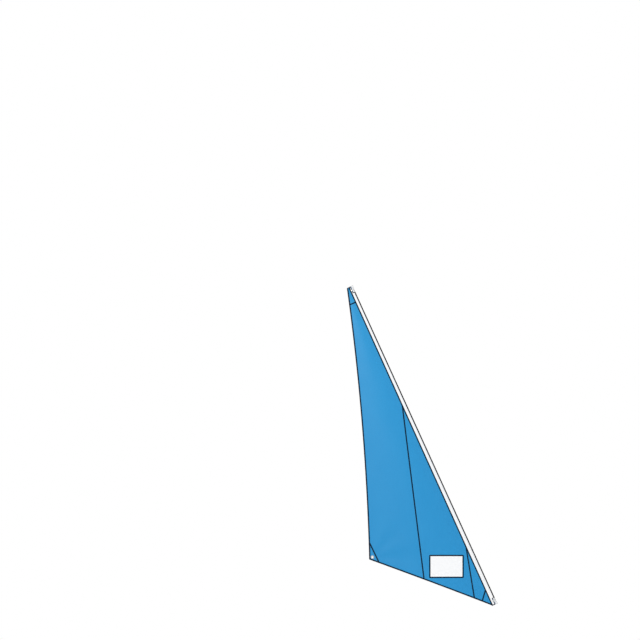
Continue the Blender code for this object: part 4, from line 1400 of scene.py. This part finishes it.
def zigzag(bm, line, width, height, side):
    """Zigzag stitches along a plan line. height gives how far the layer's face stands out."""
    holes = [onward(point, turned(run), width / 2 * (1 if k % 2 else -1))
             for k, (point, run) in enumerate(walked(line))]
    for a, b in pairwise(holes):
        across = (place(*b) - place(*a)).normalized().cross(PORT).normalized()
        rings = []
        for share, lift in STITCH_ARCH:
            spot = between(a, b, share)
            centre = on_sail(spot, side * (height(spot) + THREAD * lift))
            rings.append(circle_round(centre, across, PORT, THREAD / 2, THREAD_SIDES, THREAD_TURN))
        join_rings(bm, rings)


def stitched(name, lines, height, width, sides=BOTH):
    """One piece of stitching along plan lines."""
    bm = bmesh.new()
    for line in lines:
        for side in sides:
            zigzag(bm, line, width, height, side)
    add_piece(name + "_stitching", bm, "sail", [NAVY_THREAD], sharp=SHARP_THREAD)


def seam_rows(line):
    """Two rows through the lap, from the luff tape to the foot binding."""
    rows = []
    for offset in (-SEAM_LAP / 4, SEAM_LAP / 4):
        p, q = shifted(line, offset)
        run = unit(p, q)
        start = (tape_edge(p[0]) + STITCH_END - p[1]) / (run[1] - TAPE_SLOPE * run[0])
        end = binding_reach(run, FOOT_DIRECTION) + STITCH_END
        rows.append([onward(p, run, start), onward(q, run, -end)])
    return rows


def patch_row(corner):
    """The row along a patch's edge, between what covers the patch at either end."""
    p, q = shifted(PATCH_EDGES[corner], PATCH_HEM / 2 * PATCH_SIDES[corner])
    if corner == "head":
        leech = leech_point(share_up(p[0]))[1]
        return [(p[0], tape_edge(p[0]) + STITCH_END), (p[0], leech - BINDING - STITCH_END)]
    run = unit(p, q)
    if corner == "tack":
        start = PATCH_STITCH_START / abs(run[1])
    else:
        start = binding_reach(run, LEECH_DIRECTION) + PATCH_STITCH_END
    end = binding_reach(run, FOOT_DIRECTION) + PATCH_STITCH_END
    return [onward(p, run, start), onward(q, run, -end)]


def label_row():
    """A closed row in the middle of the label's border, from the middle of its right side."""
    outline = label_outline([size - LABEL_BORDER for size in LABEL_SIZE],
                            LABEL_CORNER - LABEL_BORDER / 2)
    start = between(outline[-1], outline[0], 0.5)
    return [start, *outline, start]


def build_stitching():
    for name, line in (("aft_seam", AFT_LINE), ("fore_seam", FORE_LINE)):
        stitched(name, seam_rows(line), lambda spot: LAP_LIFT + HALF, SEAM_STITCH)
    inset = TAPE_HEM / 2 + LUFF_STITCH_SHIFT
    luff = [(along, tape_edge(along) - inset)
            for along in (STITCH_END - TAPE_END, WIRE_SPAN + TAPE_END - STITCH_END)]
    stitched("luff", [luff], lambda spot: (layer_room(spot) + CLOTH) / ENTRY_COSINE, LUFF_STITCH)
    for name, inner, rim, share in (("leech", LEECH_INNER[1:], LEECH_RIM[1:], LEECH_ROW),
                                    ("foot", FOOT_INNER, FOOT_RIM, FOOT_ROW)):
        row = [between(a, b, share) for a, b in zip(inner, rim)]
        stitched(name, [row], lambda spot: layer_room(spot) + CLOTH, BINDING_STITCH)
    for corner in CORNERS:
        stitched(corner + "_patch", [patch_row(corner)], lambda spot: PATCH_TOP, SEAM_STITCH)
    stitched("label", [label_row()], lambda spot: HALF + GAP + LABEL_THICKNESS, LABEL_STITCH,
             sides=(-1,))


def build_sail():
    build_cloth()
    build_bindings()
    label_patch()
    luff_tape()
    eyelet("clew", CLEW_RING, *clew_ring_spot(), PATCH_TOP)
    for corner, head in ENDS:
        eyelet(corner, CORNER_RING, corner_ring_spot(head), OUT_TAPE, TAPE_TOP)
        seizing(corner, head)
        thimble(corner, head)
        ferrule(corner, head)
    luff_wire()
    build_stitching()


# Stage, light and camera

FLOOR_RADIUS = 2.45
FLOOR_SIDES = 96
FLOOR_MIDDLE = (-0.6, 0.0, -0.62)
FLOOR_FADE = (1.5, 2.4)
FLOOR_TONES = ((0.90, 0.90, 0.90, 1), (0.93, 0.93, 0.93, 1))
WORLD_STRENGTH = 0.47
WORLD_TONE = (0.97, 0.98, 1.0, 1)
LIGHT_TARGET = Vector((-0.7, 0, 1.2))
LIGHT_SIZE = 3.0
# Place in metres and power in watts
LIGHTS = {"key": ((2.6, -5.2, 4.6), 238), "fill": ((-4.8, -4.2, 2.2), 86),
          "back": ((0.5, 5.5, 3.6), 160)}
PHOTO_METRE_PER_PIXEL = 0.009
PHOTO_SIDE = 640
TACK_PIXEL = (496.6, 603.0)
CAMERA_DISTANCE = 40.0
SENSOR = 36.0


def soft_floor():
    """A pale floor that fades out towards its rim."""
    nodes, spot = new_finish("pale_floor")
    away = nodes.add("VectorMath", {0: spot}, operation="LENGTH").outputs["Value"]
    tinted = nodes.mixed(nodes.noise(spot, FLOOR_NOISE, detail=3.0), *FLOOR_TONES)
    floor = nodes.finished({"Base Color": tinted, "Roughness": 0.85})
    blend = nodes.add("MixShader", {0: nodes.ranged(away, FLOOR_FADE, (0, 1)),
                                    1: nodes.tree.nodes["Principled BSDF"].outputs[0],
                                    2: nodes.add("BsdfTransparent").outputs[0]})
    nodes.feed(nodes.tree.nodes["Material Output"], {0: blend.outputs[0]})
    return floor


def build_floor():
    bm = bmesh.new()
    bmesh.ops.create_circle(bm, cap_ends=True, segments=FLOOR_SIDES, radius=FLOOR_RADIUS)
    floor = add_object("floor", bm, [soft_floor()])
    floor.location = FLOOR_MIDDLE


def build_world():
    """White where it is seen straight or in metal, and a dim, cool light for all else."""
    world = bpy.data.worlds.new("studio")
    bpy.context.scene.world = world
    nodes = Nodes(world)
    nodes.tree.nodes.clear()
    rays = nodes.add("LightPath").outputs
    mirrored = nodes.math("MAXIMUM", rays["Is Glossy Ray"], rays["Is Transmission Ray"])
    seen = nodes.math("MAXIMUM", rays["Is Camera Ray"], mirrored)
    dim = nodes.add("Background", {0: WORLD_TONE, 1: WORLD_STRENGTH})
    white = nodes.add("Background", {0: (1, 1, 1, 1), 1: 1.0})
    blend = nodes.add("MixShader", {0: seen, 1: dim.outputs[0], 2: white.outputs[0]})
    nodes.add("OutputWorld", {0: blend.outputs[0]})


def add_facing(name, data, spot, direction):
    """A lamp or camera at a spot, turned to look in a direction."""
    made = bpy.data.objects.new(name, data)
    made.location = spot
    made.rotation_mode = "QUATERNION"
    made.rotation_quaternion = direction.to_track_quat("-Z", "Y")
    bpy.context.scene.collection.objects.link(made)
    return made


def build_lights():
    for name, (spot, power) in LIGHTS.items():
        data = bpy.data.lights.new(name, "AREA")
        data.shape = "SQUARE"
        data.size = LIGHT_SIZE
        data.energy = power
        add_facing(name, data, spot, LIGHT_TARGET - Vector(spot))


def build_camera():
    """Square to the sail's side, framed as the photo is, from far enough to be nearly parallel."""
    data = bpy.data.cameras.new("camera")
    data.sensor_width = SENSOR
    data.lens = SENSOR * CAMERA_DISTANCE / (PHOTO_SIDE * PHOTO_METRE_PER_PIXEL)
    data.clip_end = 4 * CAMERA_DISTANCE
    middle = Vector((PHOTO_SIDE / 2 - TACK_PIXEL[0], 0, TACK_PIXEL[1] - PHOTO_SIDE / 2))
    spot = middle * PHOTO_METRE_PER_PIXEL - PORT * CAMERA_DISTANCE
    bpy.context.scene.camera = add_facing("camera", data, spot, PORT)


build_camera()
build_sail()
build_floor()
build_world()
build_lights()
bpy.context.scene.view_settings.view_transform = "Standard"
